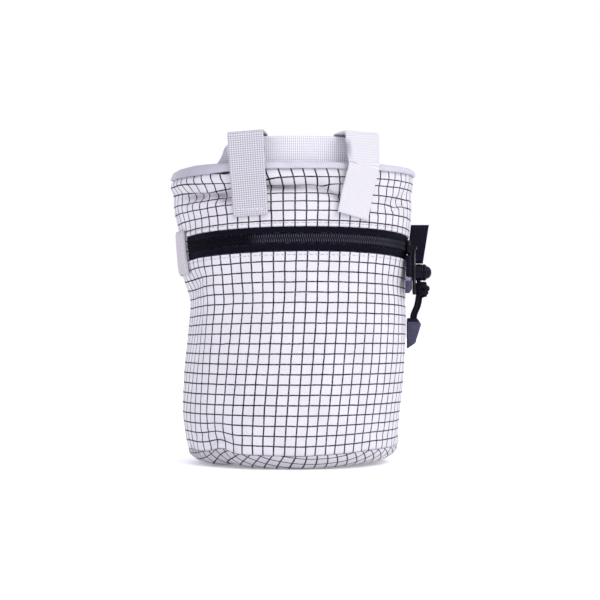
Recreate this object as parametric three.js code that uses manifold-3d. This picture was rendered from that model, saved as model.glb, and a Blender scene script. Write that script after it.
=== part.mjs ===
// A small round climbing chalk bag that stands on its base, in millimetres, +Z up.
// The origin is the middle of the base on the ground, and the zip pocket faces -Y.
import * as THREE from 'three';
import { mergeVertices } from 'three/addons/utils/BufferGeometryUtils.js';
import Module from 'manifold-3d';

const wasm = await Module();
wasm.setup();

// The bag's cloth. The section table gives its form as shares of these.
const clothHeight = 167.6;
const halfWidth = 66;
const halfDepth = 60;
const clothThickness = 2.4;
const squareness = 2.12;
const foldDepth = 5;
const pieceGap = 0.3;
const sewnGap = 0.45;

// The base panel is sewn to the wall along a seam near the ground.
const seamHeight = 8;
const baseFlatShare = 0.78;

// The rolled binding of the mouth.
const bindingThickness = 1.5;
const bindingSlack = 0.45;
const bindingFlat = 1.4;
const bindingCorner = 0.6;
const bindingRise = 1.9;
const bindingDrop = 2;
const bindingSag = 2.4;
const bindingSagAngle = -52;
const bindingSagWide = 30;

// The zip lies in a recess of the cloth, and rises towards the front.
const zipHeight = 121.8;
const zipOpening = 13.6;
const zipRise = 5.5;
const zipRisePeak = 12;
const zipStart = -66;
const zipEnd = 85.5;
const zipEndClearance = 0.5;
const recessRamp = 0.4;
const zipRecess = 1.6;
const zipTapeThickness = 0.8;
const coilWidth = 5.4;
const coilThickness = 1.7;

// The slider, its bar and the puller that hangs from the bar.
const sliderAngle = 78;
const sliderLength = 10;
const sliderWidth = 8.6;
const sliderPlate = 1.2;
const sliderNoseShare = 0.62;
const sliderShoulderShare = 0.2;
const legThickness = 1.2;
const legWidth = 2.4;
const barRadius = 0.65;
const barClearance = 0.3;
const barStandoff = 2.2;
const barLength = 4.6;
const eyeWall = 0.7;
const pullerLength = 27;
const pullerWidth = 7;
const pullerThickness = 1.2;
const pullerNeck = 2.6;
const pullerShoulder = 5;
const pullerTipCorner = 1.9;
const pullTapeWidth = 9;
const pullTapeLength = 11;
const pullTapeThickness = 2.6;
const gripWidth = 10.5;
const gripLength = 9.2;
const gripThickness = 2.8;
const gripSlant = 2.4;
const gripTaper = 1.5;
const pullTapeShift = 0.6;
const pullTapeDrop = 1.6;

// Webbing: the belt, its two loops, the brush loop and the black side tab.
const beltWidth = 20;
const beltThickness = 1.3;
const beltRise = 14.9;
const loopWidth = 20;
const loopThickness = 1.3;
const loopHemHeight = 139.5;
const loopTailHeight = 150;
const loopTailStraight = 7.6;
const loopHemStraight = 6;
const loopRise = 14;
const beltLeanAtLoops = 4;
const beltPlay = 4.6;
const wallSpan = 4;
const brushLoopHeight = 24.8;
const brushLoopDrop = 13.4;
const brushLoopThickness = 1.3;
const brushLoopStartAngle = -65.9;
const brushLoopEndAngle = -114;
const brushLoopBow = 0.3;
const tabTopHeight = 138.1;
const tabHeight = 22.6;
const tabReachTop = 11;
const tabReachBottom = 9.6;
const tabThickness = 2.8;

// The cord lock under the tab, the draw cord's two strands, its knot and its end piece.
const lockDiameter = 9.8;
const lockLength = 10.4;
const lockWall = 1;
const lockStandoff = 1.6;
const strandShare = 0.56;
const buttonDiameter = 7.4;
const buttonClearance = 0.3;
const buttonTravel = 2.2;
const buttonStickOut = 2.9;
const cordDiameter = 2.3;
const knotWidth = 9.6;
const knotHeight = 9.6;
const knotShift = 0.6;
const endWidth = 8.1;
const endHeight = 18;
const endThickness = 6.4;
const endDrop = 11.8;
const endStandoff = 0.9;
const socketDepth = 3.2;
const socketSlack = 0.4;
const mouthShare = 0.46;
const strandSink = 2.4;
const strandSpread = 0.93;

const degrees = Math.PI / 180;
const roundSteps = 60;
const lowRowCount = 11;
const highRowCount = 13;
const beltSteps = 48;
const brushLoopSteps = 12;

// The wall's form: left, right, front and back are shares of half the width or depth.
const sections = [
  { height: 0.0, left: 0.88, right: 0.895, front: 0.92, back: 0.92 },
  { height: 0.045, left: 0.912, right: 0.925, front: 0.955, back: 0.955 },
  { height: 0.09, left: 0.94, right: 0.935, front: 0.98, back: 0.98 },
  { height: 0.18, left: 0.965, right: 0.952, front: 1.0, back: 1.0 },
  { height: 0.27, left: 0.957, right: 0.978, front: 1.01, back: 1.015 },
  { height: 0.36, left: 0.942, right: 0.998, front: 1.012, back: 1.02 },
  { height: 0.45, left: 0.92, right: 1.004, front: 1.008, back: 1.015 },
  { height: 0.54, left: 0.905, right: 1.004, front: 1.0, back: 1.01 },
  { height: 0.6, left: 0.935, right: 1.004, front: 0.992, back: 1.005 },
  { height: 0.66, left: 0.974, right: 1.01, front: 0.985, back: 1.0 },
  { height: 0.73, left: 0.99, right: 1.022, front: 0.98, back: 0.995 },
  { height: 0.81, left: 1.005, right: 1.045, front: 0.975, back: 0.995 },
  { height: 0.87, left: 1.04, right: 1.055, front: 0.968, back: 1.0 },
  { height: 0.92, left: 1.045, right: 1.052, front: 0.955, back: 1.005 },
  { height: 0.96, left: 1.068, right: 1.066, front: 0.945, back: 1.005 },
  { height: 1.0, left: 1.03, right: 1.055, front: 0.92, back: 0.99 },
];

// Folds and dents: angle and wide in degrees round from the front, height and tall as shares of the
// cloth's height, climb as the same share for each degree, depth as a share of foldDepth, inwards.
// wide and tall are measured from the middle.
const folds = [
  { name: 'tuck under the rim', angle: -3, height: 0.925, wide: 17, tall: 0.02, climb: 0, depth: 0.85 },
  { name: 'roll over that tuck', angle: -2, height: 0.962, wide: 18, tall: 0.016, climb: 0, depth: -0.3 },
  { name: 'tuck turning down', angle: 19, height: 0.895, wide: 9, tall: 0.022, climb: -0.004, depth: 0.6 },
  { name: 'left tuck', angle: -46, height: 0.902, wide: 17, tall: 0.024, climb: -0.0006, depth: 0.8 },
  { name: 'roll over it', angle: -52, height: 0.95, wide: 20, tall: 0.02, climb: 0, depth: -0.3 },
  { name: 'right tuck', angle: 58, height: 0.88, wide: 12, tall: 0.024, climb: 0.0018, depth: 0.5 },
  { name: 'firm left corner', angle: -46, height: 0.5, wide: 10, tall: 0.2, climb: 0, depth: -0.5 },
  { name: 'flat left side', angle: -70, height: 0.52, wide: 15, tall: 0.18, climb: 0, depth: 0.35 },
  { name: 'low left crease', angle: -66, height: 0.6, wide: 22, tall: 0.03, climb: 0.0012, depth: 0.4 },
  { name: 'slider dent', angle: 62, height: 0.6, wide: 16, tall: 0.05, climb: -0.001, depth: 0.25 },
  { name: 'pleat at the base', angle: -40, height: 0.07, wide: 12, tall: 0.03, climb: 0.001, depth: 0.3 },
  { name: 'sag of the back', angle: 170, height: 0.84, wide: 34, tall: 0.05, climb: 0.0004, depth: 0.6 },
  { name: 'low back crease', angle: 205, height: 0.4, wide: 30, tall: 0.05, climb: -0.0008, depth: 0.4 },
];

// A smooth value of one column of a table at a share of the height.
function tableValue(table, column, share) {
  const last = table.length - 1;
  const row = Math.max(1, table.findIndex((r) => r.height >= share));
  const i = share >= table[last].height ? last : row;
  const at = (k) => table[Math.min(last, Math.max(0, k))];
  const span = at(i).height - at(i - 1).height;
  const t = Math.min(1, Math.max(0, (share - at(i - 1).height) / span));
  const slope = (k) => {
    const rise = at(k + 1)[column] - at(k - 1)[column];
    return (rise / (at(k + 1).height - at(k - 1).height)) * span;
  };
  const [a, b] = [at(i - 1)[column], at(i)[column]];
  const [m, n] = [slope(i - 1), slope(i)];
  return a + t * m + t * t * (3 * (b - a) - 2 * m - n) + t * t * t * (2 * (a - b) + m + n);
}

const smoothStep = (t) => THREE.MathUtils.smoothstep(t, 0, 1);

// How far the cloth at a height is lifted where the zip rises towards the front.
function lift(angle, height) {
  const round = Math.max(0, Math.cos((angle - zipRisePeak) * degrees));
  const below = smoothStep((height / zipHeight - 0.45) / 0.55);
  const above = smoothStep((clothHeight - height) / (clothHeight - zipHeight));
  return zipRise * round * Math.min(below, above);
}

// The plain outline of the bag at a height, before its folds.
function outline(angle, height) {
  const share = height / clothHeight;
  const s = Math.sin(angle * degrees);
  const c = Math.cos(angle * degrees);
  const across = halfWidth * tableValue(sections, s < 0 ? 'left' : 'right', share);
  const along = halfDepth * tableValue(sections, c > 0 ? 'front' : 'back', share);
  const power = 2 / squareness;
  const x = across * Math.sign(s) * Math.abs(s) ** power;
  const y = -along * Math.sign(c) * Math.abs(c) ** power;
  return new THREE.Vector2(x, y);
}

// How far all folds press the cloth inwards at one place.
function foldPress(angle, height) {
  return folds.reduce((sum, f) => {
    const turn = ((angle - f.angle + 540) % 360) - 180;
    const across = turn / f.wide;
    const up = (height / clothHeight - f.height - f.climb * turn) / f.tall;
    return sum + foldDepth * f.depth * Math.exp(-across * across - up * up);
  }, 0);
}

// The level outward direction of the cloth.
function outwards(angle, height) {
  const step = 2;
  const ahead = outline(angle + step, height).sub(outline(angle - step, height)).normalize();
  return new THREE.Vector2(ahead.y, -ahead.x);
}

// A point on the cloth, or off it by a distance outwards, at a height measured along the unlifted cloth.
function clothPoint(angle, height, out = 0) {
  const normal = outwards(angle, height);
  const flat = outline(angle, height).addScaledVector(normal, out - foldPress(angle, height));
  return new THREE.Vector3(flat.x, flat.y, height + lift(angle, height));
}

// The same at a true height above the ground.
function clothPointAt(angle, z, out = 0) {
  let height = z;
  for (let i = 0; i < 8; i++) height = z - lift(angle, height);
  const point = clothPoint(angle, height, out);
  point.z = z;
  return point;
}

// Closed bodies from rings of points, capped at both ends or joined round.
function bodyThroughRings(rings, joined = false) {
  const count = rings[0].length;
  const points = rings.flat();
  const faces = [];
  const spans = joined ? rings.length : rings.length - 1;
  for (let i = 0; i < spans; i++) {
    const next = (i + 1) % rings.length;
    for (let j = 0; j < count; j++) {
      const beside = (j + 1) % count;
      const corner = i * count + j;
      const across = next * count + beside;
      faces.push(corner, i * count + beside, across, corner, across, next * count + j);
    }
  }
  const cap = (ring, start, turn) => {
    const middle = new THREE.Vector3();
    ring.forEach((p) => middle.addScaledVector(p, 1 / count));
    points.push(middle);
    for (let j = 0; j < count; j++) {
      const pair = [start + j, start + ((j + 1) % count)];
      faces.push(points.length - 1, ...(turn ? pair : pair.reverse()));
    }
  };
  if (!joined) {
    cap(rings[0], 0, false);
    cap(rings[rings.length - 1], (rings.length - 1) * count, true);
  }
  return facingOut(points, faces);
}

function facingOut(points, faces) {
  const [a, b, c] = [0, 1, 2].map(() => new THREE.Vector3());
  let volume = 0;
  for (let i = 0; i < faces.length; i += 3) {
    a.copy(points[faces[i]]);
    b.copy(points[faces[i + 1]]);
    c.copy(points[faces[i + 2]]);
    volume += a.dot(b.cross(c));
  }
  if (volume < 0) faces.reverse();
  const geometry = new THREE.BufferGeometry().setFromPoints(points);
  geometry.setIndex(faces);
  geometry.computeVertexNormals();
  return geometry;
}

// Joins and cuts of closed geometries.
function solid(geometry) {
  const bare = geometry.clone();
  bare.deleteAttribute('normal');
  bare.deleteAttribute('uv');
  const merged = mergeVertices(bare, 1e-4);
  const vertProperties = new Float32Array(merged.attributes.position.array);
  const triVerts = new Uint32Array(merged.index.array);
  return new wasm.Manifold(new wasm.Mesh({ numProp: 3, vertProperties, triVerts }));
}

function geometryOf(body) {
  const mesh = body.getMesh();
  const geometry = new THREE.BufferGeometry();
  geometry.setAttribute('position', new THREE.BufferAttribute(new Float32Array(mesh.vertProperties), 3));
  geometry.setIndex(new THREE.BufferAttribute(new Uint32Array(mesh.triVerts), 1));
  geometry.computeVertexNormals();
  return geometry;
}

const joined = (...parts) => geometryOf(parts.map(solid).reduce((a, b) => a.add(b)));
function cutFrom(body, ...tools) {
  return geometryOf(tools.map(solid).reduce((a, b) => a.subtract(b), solid(body)));
}

// A box given by its middle and its size.
function box(x, y, z, wide, deep, tall) {
  return new THREE.BoxGeometry(wide, deep, tall).translate(x, y, z);
}

// A flat plate in the XZ plane with its outline given, its thickness centred on y.
function plate(corners, thickness, y) {
  const shape = new THREE.Shape(corners.map(([x, z]) => new THREE.Vector2(x, z)));
  const geometry = new THREE.ExtrudeGeometry(shape, { depth: thickness, bevelEnabled: false });
  return geometry.rotateX(Math.PI / 2).translate(0, y + thickness / 2, 0);
}

function named(name, geometry, colour, roughness, metalness = 0) {
  const material = new THREE.MeshStandardMaterial({ color: colour, roughness, metalness });
  const mesh = new THREE.Mesh(geometry, material);
  mesh.name = name;
  return mesh;
}

const gridCloth = (name, geometry) => named(name, geometry, 0xe9e7ef, 0.85);
const whiteWebbing = (name, geometry) => named(name, geometry, 0xe3e0e8, 0.8);
const blackWebbing = (name, geometry) => named(name, geometry, 0x15151f, 0.75);
const blackPlastic = (name, geometry) => named(name, geometry, 0x0c0c12, 0.25);
const slatePlastic = (name, geometry) => named(name, geometry, 0x4a4c66, 0.45);
const darkMetal = (name, geometry) => named(name, geometry, 0x2c2c34, 0.35, 0.8);
const blackCord = (name, geometry) => named(name, geometry, 0x101018, 0.8);

// Angles round the bag, closer together at the two ends of the zip's recess.
function anglesRound() {
  const angles = Array.from({ length: roundSteps }, (_, i) => -180 + (360 * i) / roundSteps);
  const ends = [zipStart - recessRamp, zipStart, zipEnd, zipEnd + recessRamp];
  const kept = angles.filter((a) => ends.every((e) => Math.abs(e - a) > 2));
  return [...kept, ...ends].sort((a, b) => a - b);
}

function evenly(from, to, count) {
  return Array.from({ length: count + 1 }, (_, i) => from + ((to - from) * i) / count);
}

const zipBottom = zipHeight - zipOpening / 2;
const zipTop = zipHeight + zipOpening / 2;

// The shell: the cloth wall as a loop of outer and inner points, carried round the bag.
function shell() {
  const lowRows = evenly(seamHeight, zipBottom - recessRamp, lowRowCount);
  const highRows = evenly(zipTop + recessRamp, clothHeight, highRowCount);
  const outerRows = [...lowRows, zipBottom, zipTop, ...highRows];
  const innerHigh = evenly(clothHeight, zipTop, highRowCount - 4);
  const innerLow = evenly(zipBottom, seamHeight, lowRowCount - 4);
  const innerRows = [...innerHigh, ...innerLow];
  const inRecess = (angle, height) =>
    angle > zipStart - 0.1 && angle < zipEnd + 0.1 && height > zipBottom - 0.1 && height < zipTop + 0.1;
  const rings = anglesRound().map((angle) => [
    ...outerRows.map((h) => clothPoint(angle, h, inRecess(angle, h) ? -zipRecess : 0)),
    ...innerRows.map((h) => clothPoint(angle, h, -clothThickness)),
  ]);
  return gridCloth('shell', bodyThroughRings(rings, true));
}

// The base panel: a flat floor whose edge curves up to the seam.
function basePanel() {
  const top = seamHeight - pieceGap;
  const ringAt = (z, inset) => {
    const rise = Math.min(1, z / seamHeight);
    const reach = baseFlatShare + (1 - baseFlatShare) * Math.sqrt(1 - (1 - rise) ** 2);
    return anglesRound().map((angle) => {
      const edge = clothPoint(angle, seamHeight, -inset);
      return new THREE.Vector3(edge.x * reach, edge.y * reach, z + (inset ? clothThickness : 0));
    });
  };
  const outside = [0, 0.1, 0.3, 0.6, 1].map((share) => ringAt(share * top, 0));
  const inside = [1, 0.4, 0].map((share) => ringAt(share * (top - clothThickness), clothThickness));
  return gridCloth('base_panel', bodyThroughRings([...outside, ...inside]));
}

// The rolled binding: a channel over the cloth's top edge, carried round the mouth.
const bindingOuter = bindingSlack + bindingThickness;
const bindingInner = -clothThickness - bindingSlack - bindingThickness;
function rimBinding() {
  const high = clothHeight + bindingRise;
  const middle = (bindingOuter + bindingInner) / 2;
  const channelAt = (low) => [
    [bindingSlack, low],
    [bindingOuter, low + bindingCorner],
    [bindingOuter, clothHeight + pieceGap],
    [middle + bindingFlat, high],
    [middle - bindingFlat, high],
    [bindingInner, clothHeight + pieceGap],
    [bindingInner, low + bindingCorner],
    [-clothThickness - bindingSlack, low],
    [-clothThickness - bindingSlack, clothHeight + pieceGap],
    [bindingSlack, clothHeight + pieceGap],
  ];
  const lowAt = (angle) => {
    const turn = (angle - bindingSagAngle) / bindingSagWide;
    return clothHeight - bindingDrop - bindingSag * Math.exp(-turn * turn);
  };
  const rings = anglesRound().map((angle) =>
    channelAt(lowAt(angle)).map(([out, z]) => {
      const point = clothPoint(angle, Math.min(z, clothHeight), out);
      point.z = z;
      return point;
    }),
  );
  return named('rim_binding', bodyThroughRings(rings, true), 0xd9d6df, 0.85);
}

// A band along the zip, between two heights and two distances off the cloth.
function zipBand(low, high, inner, outer) {
  const start = zipStart + zipEndClearance;
  const end = zipEnd - zipEndClearance;
  const between = anglesRound().filter((angle) => angle > start + 1 && angle < end - 1);
  const rings = [start, ...between, end].map((angle) => [
    clothPoint(angle, low, inner),
    clothPoint(angle, high, inner),
    clothPoint(angle, high, outer),
    clothPoint(angle, low, outer),
  ]);
  return bodyThroughRings(rings);
}

const recessFloor = -zipRecess + pieceGap;
const coilTop = recessFloor + coilThickness;

function zip() {
  const tapeOut = recessFloor + zipTapeThickness;
  const coilEdge = coilWidth / 2;
  const tapeEdge = coilEdge + pieceGap;
  const clothEdge = zipOpening / 2 - pieceGap;
  const upper = zipBand(zipHeight + tapeEdge, zipHeight + clothEdge, recessFloor, tapeOut);
  const lower = zipBand(zipHeight - clothEdge, zipHeight - tapeEdge, recessFloor, tapeOut);
  const coil = zipBand(zipHeight - coilEdge, zipHeight + coilEdge, recessFloor, coilTop);
  return [
    blackWebbing('zip_tape_upper', upper),
    blackWebbing('zip_tape_lower', lower),
    named('zip_coil', coil, 0x101016, 0.35),
  ];
}

// The slider and what hangs from it are modelled as at the front, then turned to their angle.
// There x runs along the zip, -y points away from the bag and the zip's middle is z = 0.
const plateInner = coilTop + 2 * pieceGap;
const plateOuter = plateInner + sliderPlate;
const barOut = plateOuter + barStandoff;

function slider() {
  const half = sliderLength / 2;
  const wide = sliderWidth / 2;
  const nose = wide * sliderNoseShare;
  const shoulder = half * sliderShoulderShare;
  const top = plate(
    [[-half, -nose], [-shoulder, -wide], [half, -wide], [half, wide], [-shoulder, wide], [-half, nose]],
    sliderPlate,
    -(plateInner + plateOuter) / 2,
  );
  const bar = new THREE.CylinderGeometry(barRadius, barRadius, barLength, 12);
  bar.rotateZ(Math.PI / 2).translate(0, -barOut, 0);
  const legs = [-1, 1].map((side) => {
    const foot = plateOuter - legThickness / 6;
    const height = barOut + barRadius - foot;
    return box((side * (barLength + 1)) / 2, -(foot + height / 2), 0, legThickness, height, legWidth);
  });
  return darkMetal('zip_slider', joined(top, bar, ...legs));
}

function puller() {
  const eyeRadius = barRadius + barClearance + eyeWall;
  const eyeLength = barLength - legThickness;
  const profile = [
    [barRadius + barClearance, -eyeLength / 2],
    [eyeRadius, -eyeLength / 2],
    [eyeRadius, eyeLength / 2],
    [barRadius + barClearance, eyeLength / 2],
    [barRadius + barClearance, -eyeLength / 2],
  ];
  const eye = new THREE.LatheGeometry(profile.map(([r, h]) => new THREE.Vector2(r, h)), 16);
  eye.rotateZ(Math.PI / 2);
  const half = pullerWidth / 2;
  const neck = eyeLength / 2;
  const start = -(barRadius + barClearance + eyeWall / 3);
  const tip = -pullerLength;
  const corner = pullerTipCorner;
  const blade = plate(
    [
      [-neck, start], [-neck, -pullerNeck], [-half, -pullerShoulder],
      [-half, tip + corner], [-half + corner, tip], [half - corner, tip], [half, tip + corner],
      [half, -pullerShoulder], [neck, -pullerNeck], [neck, start],
    ],
    pullerThickness,
    0,
  );
  return darkMetal('zip_puller', joined(eye, blade).translate(0, -barOut, 0));
}

function pullTapeAndGrip() {
  const out = barOut - pullerThickness / 2 - pieceGap - pullTapeThickness / 2;
  const right = -pullTapeShift;
  const left = right - pullTapeWidth;
  const top = -sliderWidth / 2 - pullTapeDrop;
  const low = top - pullTapeLength;
  const tape = plate([[left, low], [right, low], [right, top], [left, top]], pullTapeThickness, -out);
  const gripRight = right - pullTapeShift;
  const gripLeft = gripRight - gripWidth;
  const gripTop = low - pieceGap;
  const gripLow = gripTop - gripLength;
  const gripOut = barOut - pullerThickness / 2 - pieceGap - gripThickness / 2;
  const grip = plate(
    [
      [gripLeft, gripLow], [gripRight, gripLow + gripSlant],
      [gripRight, gripTop], [gripLeft + gripTaper, gripTop],
    ],
    gripThickness,
    -gripOut,
  );
  return [blackWebbing('pull_tape', tape), slatePlastic('pull_grip', grip)];
}

function zipFittings() {
  const group = new THREE.Group();
  const place = clothPoint(sliderAngle, zipHeight);
  group.position.copy(place);
  group.rotation.z = sliderAngle * degrees;
  group.add(slider(), puller(), ...pullTapeAndGrip());
  return group;
}

// The belt's route round the mouth: angle from the front, inset from the binding, middle as a share of the
// belt's width above the binding's top, and lean inwards in degrees.
const beltRoute = [
  { angle: -112, inset: 0.34, middle: -1.5, lean: 4 },
  { angle: -96, inset: 0.3, middle: -1.2, lean: 8 },
  { angle: -80, inset: 0.27, middle: -0.8, lean: 16 },
  { angle: -66, inset: 0.26, middle: -0.5, lean: 26 },
  { angle: -55, inset: 0.2, middle: -0.25, lean: 32 },
  { angle: -45, inset: 0.12, middle: -0.04, lean: 26 },
  { angle: -35, inset: 0.03, middle: 0.16, lean: 8 },
  { angle: -24, inset: 0.03, middle: 0.23, lean: beltLeanAtLoops },
  { angle: -10, inset: 0.03, middle: 0.245, lean: beltLeanAtLoops },
  { angle: 6, inset: 0.03, middle: 0.245, lean: beltLeanAtLoops },
  { angle: 20, inset: 0.03, middle: 0.245, lean: beltLeanAtLoops },
  { angle: 32, inset: 0.03, middle: 0.23, lean: beltLeanAtLoops },
  { angle: 43, inset: 0.03, middle: 0.17, lean: beltLeanAtLoops },
  { angle: 53, inset: 0.1, middle: 0.06, lean: 26 },
  { angle: 62, inset: 0.2, middle: -0.12, lean: 36 },
  { angle: 72, inset: 0.28, middle: -0.5, lean: 30 },
  { angle: 86, inset: 0.32, middle: -0.9, lean: 20 },
  { angle: 98, inset: 0.34, middle: -1.2, lean: 10 },
  { angle: 112, inset: 0.36, middle: -1.5, lean: 4 },
];

// The middle of the belt and the way its width points, at a place between two rows of its route.
function beltPlace(row) {
  const lean = row.lean * degrees;
  const footOut = (beltWidth / 2) * Math.sin(lean) + beltThickness / 2;
  const inset = -bindingInner + pieceGap + footOut + row.inset * beltWidth;
  const middle = clothPoint(row.angle, clothHeight, -inset);
  const normal = outwards(row.angle, clothHeight);
  middle.z = clothHeight + bindingRise + row.middle * beltWidth;
  const up = new THREE.Vector3(-normal.x * Math.sin(lean), -normal.y * Math.sin(lean), Math.cos(lean));
  return { middle, up };
}

function beltStrap() {
  const count = beltSteps;
  const columns = ['angle', 'inset', 'middle', 'lean'].map((column) => {
    const curve = new THREE.CatmullRomCurve3(beltRoute.map((r, i) => new THREE.Vector3(i, r[column], 0)));
    return (t) => curve.getPoint(t).y;
  });
  const places = evenly(0, 1, count).map((t) => {
    const [angle, inset, middle, lean] = columns.map((valueAt) => valueAt(t));
    return beltPlace({ angle, inset, middle, lean });
  });
  const rings = places.map(({ middle, up }, i) => {
    const before = places[Math.max(0, i - 1)].middle;
    const after = places[Math.min(count, i + 1)].middle;
    const along = after.clone().sub(before).normalize();
    const wide = up.clone().addScaledVector(along, -up.dot(along)).normalize();
    const thick = along.clone().cross(wide);
    const [halfWide, halfThick] = [beltWidth / 2, beltThickness / 2];
    const corner = (u, a) =>
      middle.clone().addScaledVector(wide, u * halfWide).addScaledVector(thick, a * halfThick);
    return [corner(-1, -1), corner(1, -1), corner(1, 1), corner(-1, 1)];
  });
  return whiteWebbing('belt_strap', bodyThroughRings(rings));
}

// Each belt loop: its angle round the bag, the ways it faces at its hem and at its top, how far its top leans
// across as a share of its width, and how its top slopes in degrees.
const beltLoops = [
  { name: 'belt_loop_left', angle: -18.2, hemFacing: -16, topFacing: -6, topShift: -0.11, topSlope: 4 },
  { name: 'belt_loop_right', angle: 28, hemFacing: 30, topFacing: 18, topShift: 0.2, topSlope: -3 },
];

function beltLoop(loop) {
  const half = loopThickness / 2;
  const beltTop = clothHeight + bindingRise + beltRise;
  const top = beltTop + 2 * pieceGap + half;
  const origin = clothPoint(loop.angle, clothHeight);
  const shareAt = (z) => Math.max(0, (z - loopHemHeight) / (top - loopHemHeight));
  const shiftAt = (z) => loop.topShift * loopWidth * shareAt(z);
  const turnAt = (z) => (loop.hemFacing + (loop.topFacing - loop.hemFacing) * shareAt(z)) * degrees;
  const facingAt = (z) => new THREE.Vector3(Math.sin(turnAt(z)), -Math.cos(turnAt(z)), 0);
  const acrossAt = (z) => new THREE.Vector3(Math.cos(turnAt(z)), Math.sin(turnAt(z)), 0);
  const slopeAt = (z) => Math.tan(loop.topSlope * shareAt(z) * degrees);
  // The furthest that the wall reaches outwards, or inwards, behind the loop's width round a height.
  const wallReach = (z, inside) => {
    const reach = [];
    for (const side of evenly(-1, 1, 4)) {
      const angle = loop.angle + ((side * loopWidth) / 2 + shiftAt(z)) / halfDepth / degrees;
      for (const rise of [-wallSpan, 0, wallSpan]) {
        const level = Math.min(z + rise, clothHeight);
        const point = clothPointAt(angle, level, inside ? -clothThickness : 0);
        reach.push(point.sub(origin).dot(facingAt(z)));
      }
    }
    return inside ? Math.min(...reach) - pieceGap - half : Math.max(...reach) + pieceGap + half;
  };
  const rimOut = wallReach(clothHeight, false) + bindingOuter;
  const beltDepth = beltThickness + (beltWidth / 2) * Math.sin(beltLeanAtLoops * degrees);
  const behindBinding = bindingInner + clothThickness - pieceGap;
  const rimIn = wallReach(clothHeight, true) + behindBinding - beltDepth - beltPlay;
  const bend = loopThickness * 1.8;
  const tailEnd = loopTailHeight - loopHemStraight;
  const route = [
    [wallReach(loopHemHeight, false), loopHemHeight],
    [wallReach(loopHemHeight + loopHemStraight, false), loopHemHeight + loopHemStraight],
    [Math.max(wallReach(loopHemHeight + loopRise, false), rimOut - 1), loopHemHeight + loopRise],
    [rimOut, clothHeight - 2 * bindingDrop],
    [rimOut, clothHeight + bindingRise],
    [rimOut, top - bend],
    [rimOut - bend * 0.3, top - bend * 0.3],
    [rimOut - bend, top],
    [rimIn + bend, top],
    [rimIn + bend * 0.3, top - bend * 0.3],
    [rimIn, top - bend],
    [rimIn, loopTailHeight + loopTailStraight],
    [Math.min(wallReach(loopTailHeight, true), rimIn + 2), loopTailHeight],
    [Math.min(wallReach(tailEnd, true), rimIn + 3), tailEnd],
  ];
  const middle = route.map(([out, z]) => {
    const flat = origin.clone().setZ(z);
    return flat.addScaledVector(facingAt(z), out).addScaledVector(acrossAt(z), shiftAt(z));
  });
  const rings = middle.map((point, i) => {
    const before = middle[Math.max(0, i - 1)];
    const after = middle[Math.min(middle.length - 1, i + 1)];
    const across = acrossAt(point.z).setZ(slopeAt(point.z)).normalize();
    const side = after.clone().sub(before).cross(across).normalize();
    const corner = (a, t) =>
      point.clone().addScaledVector(across, (a * loopWidth) / 2).addScaledVector(side, t * half);
    return [corner(-1, -1), corner(1, -1), corner(1, 1), corner(-1, 1)];
  });
  return whiteWebbing(loop.name, bodyThroughRings(rings));
}

// The brush loop: a band flat along the left side that stands off a little in its middle.
const brushLoopBottom = zipHeight - brushLoopDrop;
function brushLoop() {
  const rings = evenly(0, 1, brushLoopSteps).map((t) => {
    const angle = brushLoopStartAngle + (brushLoopEndAngle - brushLoopStartAngle) * t;
    const inner = sewnGap + brushLoopBow * Math.sin(Math.PI * t) ** 2;
    const outer = inner + brushLoopThickness;
    const levels = evenly(brushLoopBottom, brushLoopBottom + brushLoopHeight, 3);
    return [
      ...levels.map((z) => clothPointAt(angle, z, inner)),
      ...levels.reverse().map((z) => clothPointAt(angle, z, outer)),
    ];
  });
  return whiteWebbing('brush_loop', bodyThroughRings(rings));
}

// The side tab: folded webbing that stands out of the right side.
const sideX = (z) => clothPointAt(90, z).x;
const tabBottomHeight = tabTopHeight - tabHeight;

function sideTab() {
  const rootAt = (z) => sideX(z) + sewnGap;
  const levels = evenly(tabBottomHeight, tabTopHeight, 4);
  const outer = [
    [sideX(tabTopHeight) + tabReachTop, tabTopHeight],
    [sideX(tabBottomHeight) + tabReachBottom, tabBottomHeight],
  ];
  const corners = [...levels.map((z) => [rootAt(z), z]), ...outer];
  return blackWebbing('side_tab', plate(corners, tabThickness, 0));
}

// The cord lock: a barrel whose axis runs out from the bag, with a slot across it for the two strands.
const lockZ = tabBottomHeight - pieceGap - lockDiameter / 2;
const lockStart = sideX(lockZ) + lockStandoff;
const lockEnd = lockStart + lockLength;
const strandX = lockStart + lockLength * strandShare;
const strandY = (cordDiameter + pieceGap) / 2;
const slotWide = cordDiameter + 2 * pieceGap;
const slotDeep = 2 * strandY + slotWide;

// A turned piece whose axis runs along x, from its rows of distance along and radius.
function turnedAlongX(profile, steps) {
  const lathe = new THREE.LatheGeometry(profile.map(([x, r]) => new THREE.Vector2(r, x)), steps);
  return lathe.rotateZ(-Math.PI / 2);
}

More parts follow.
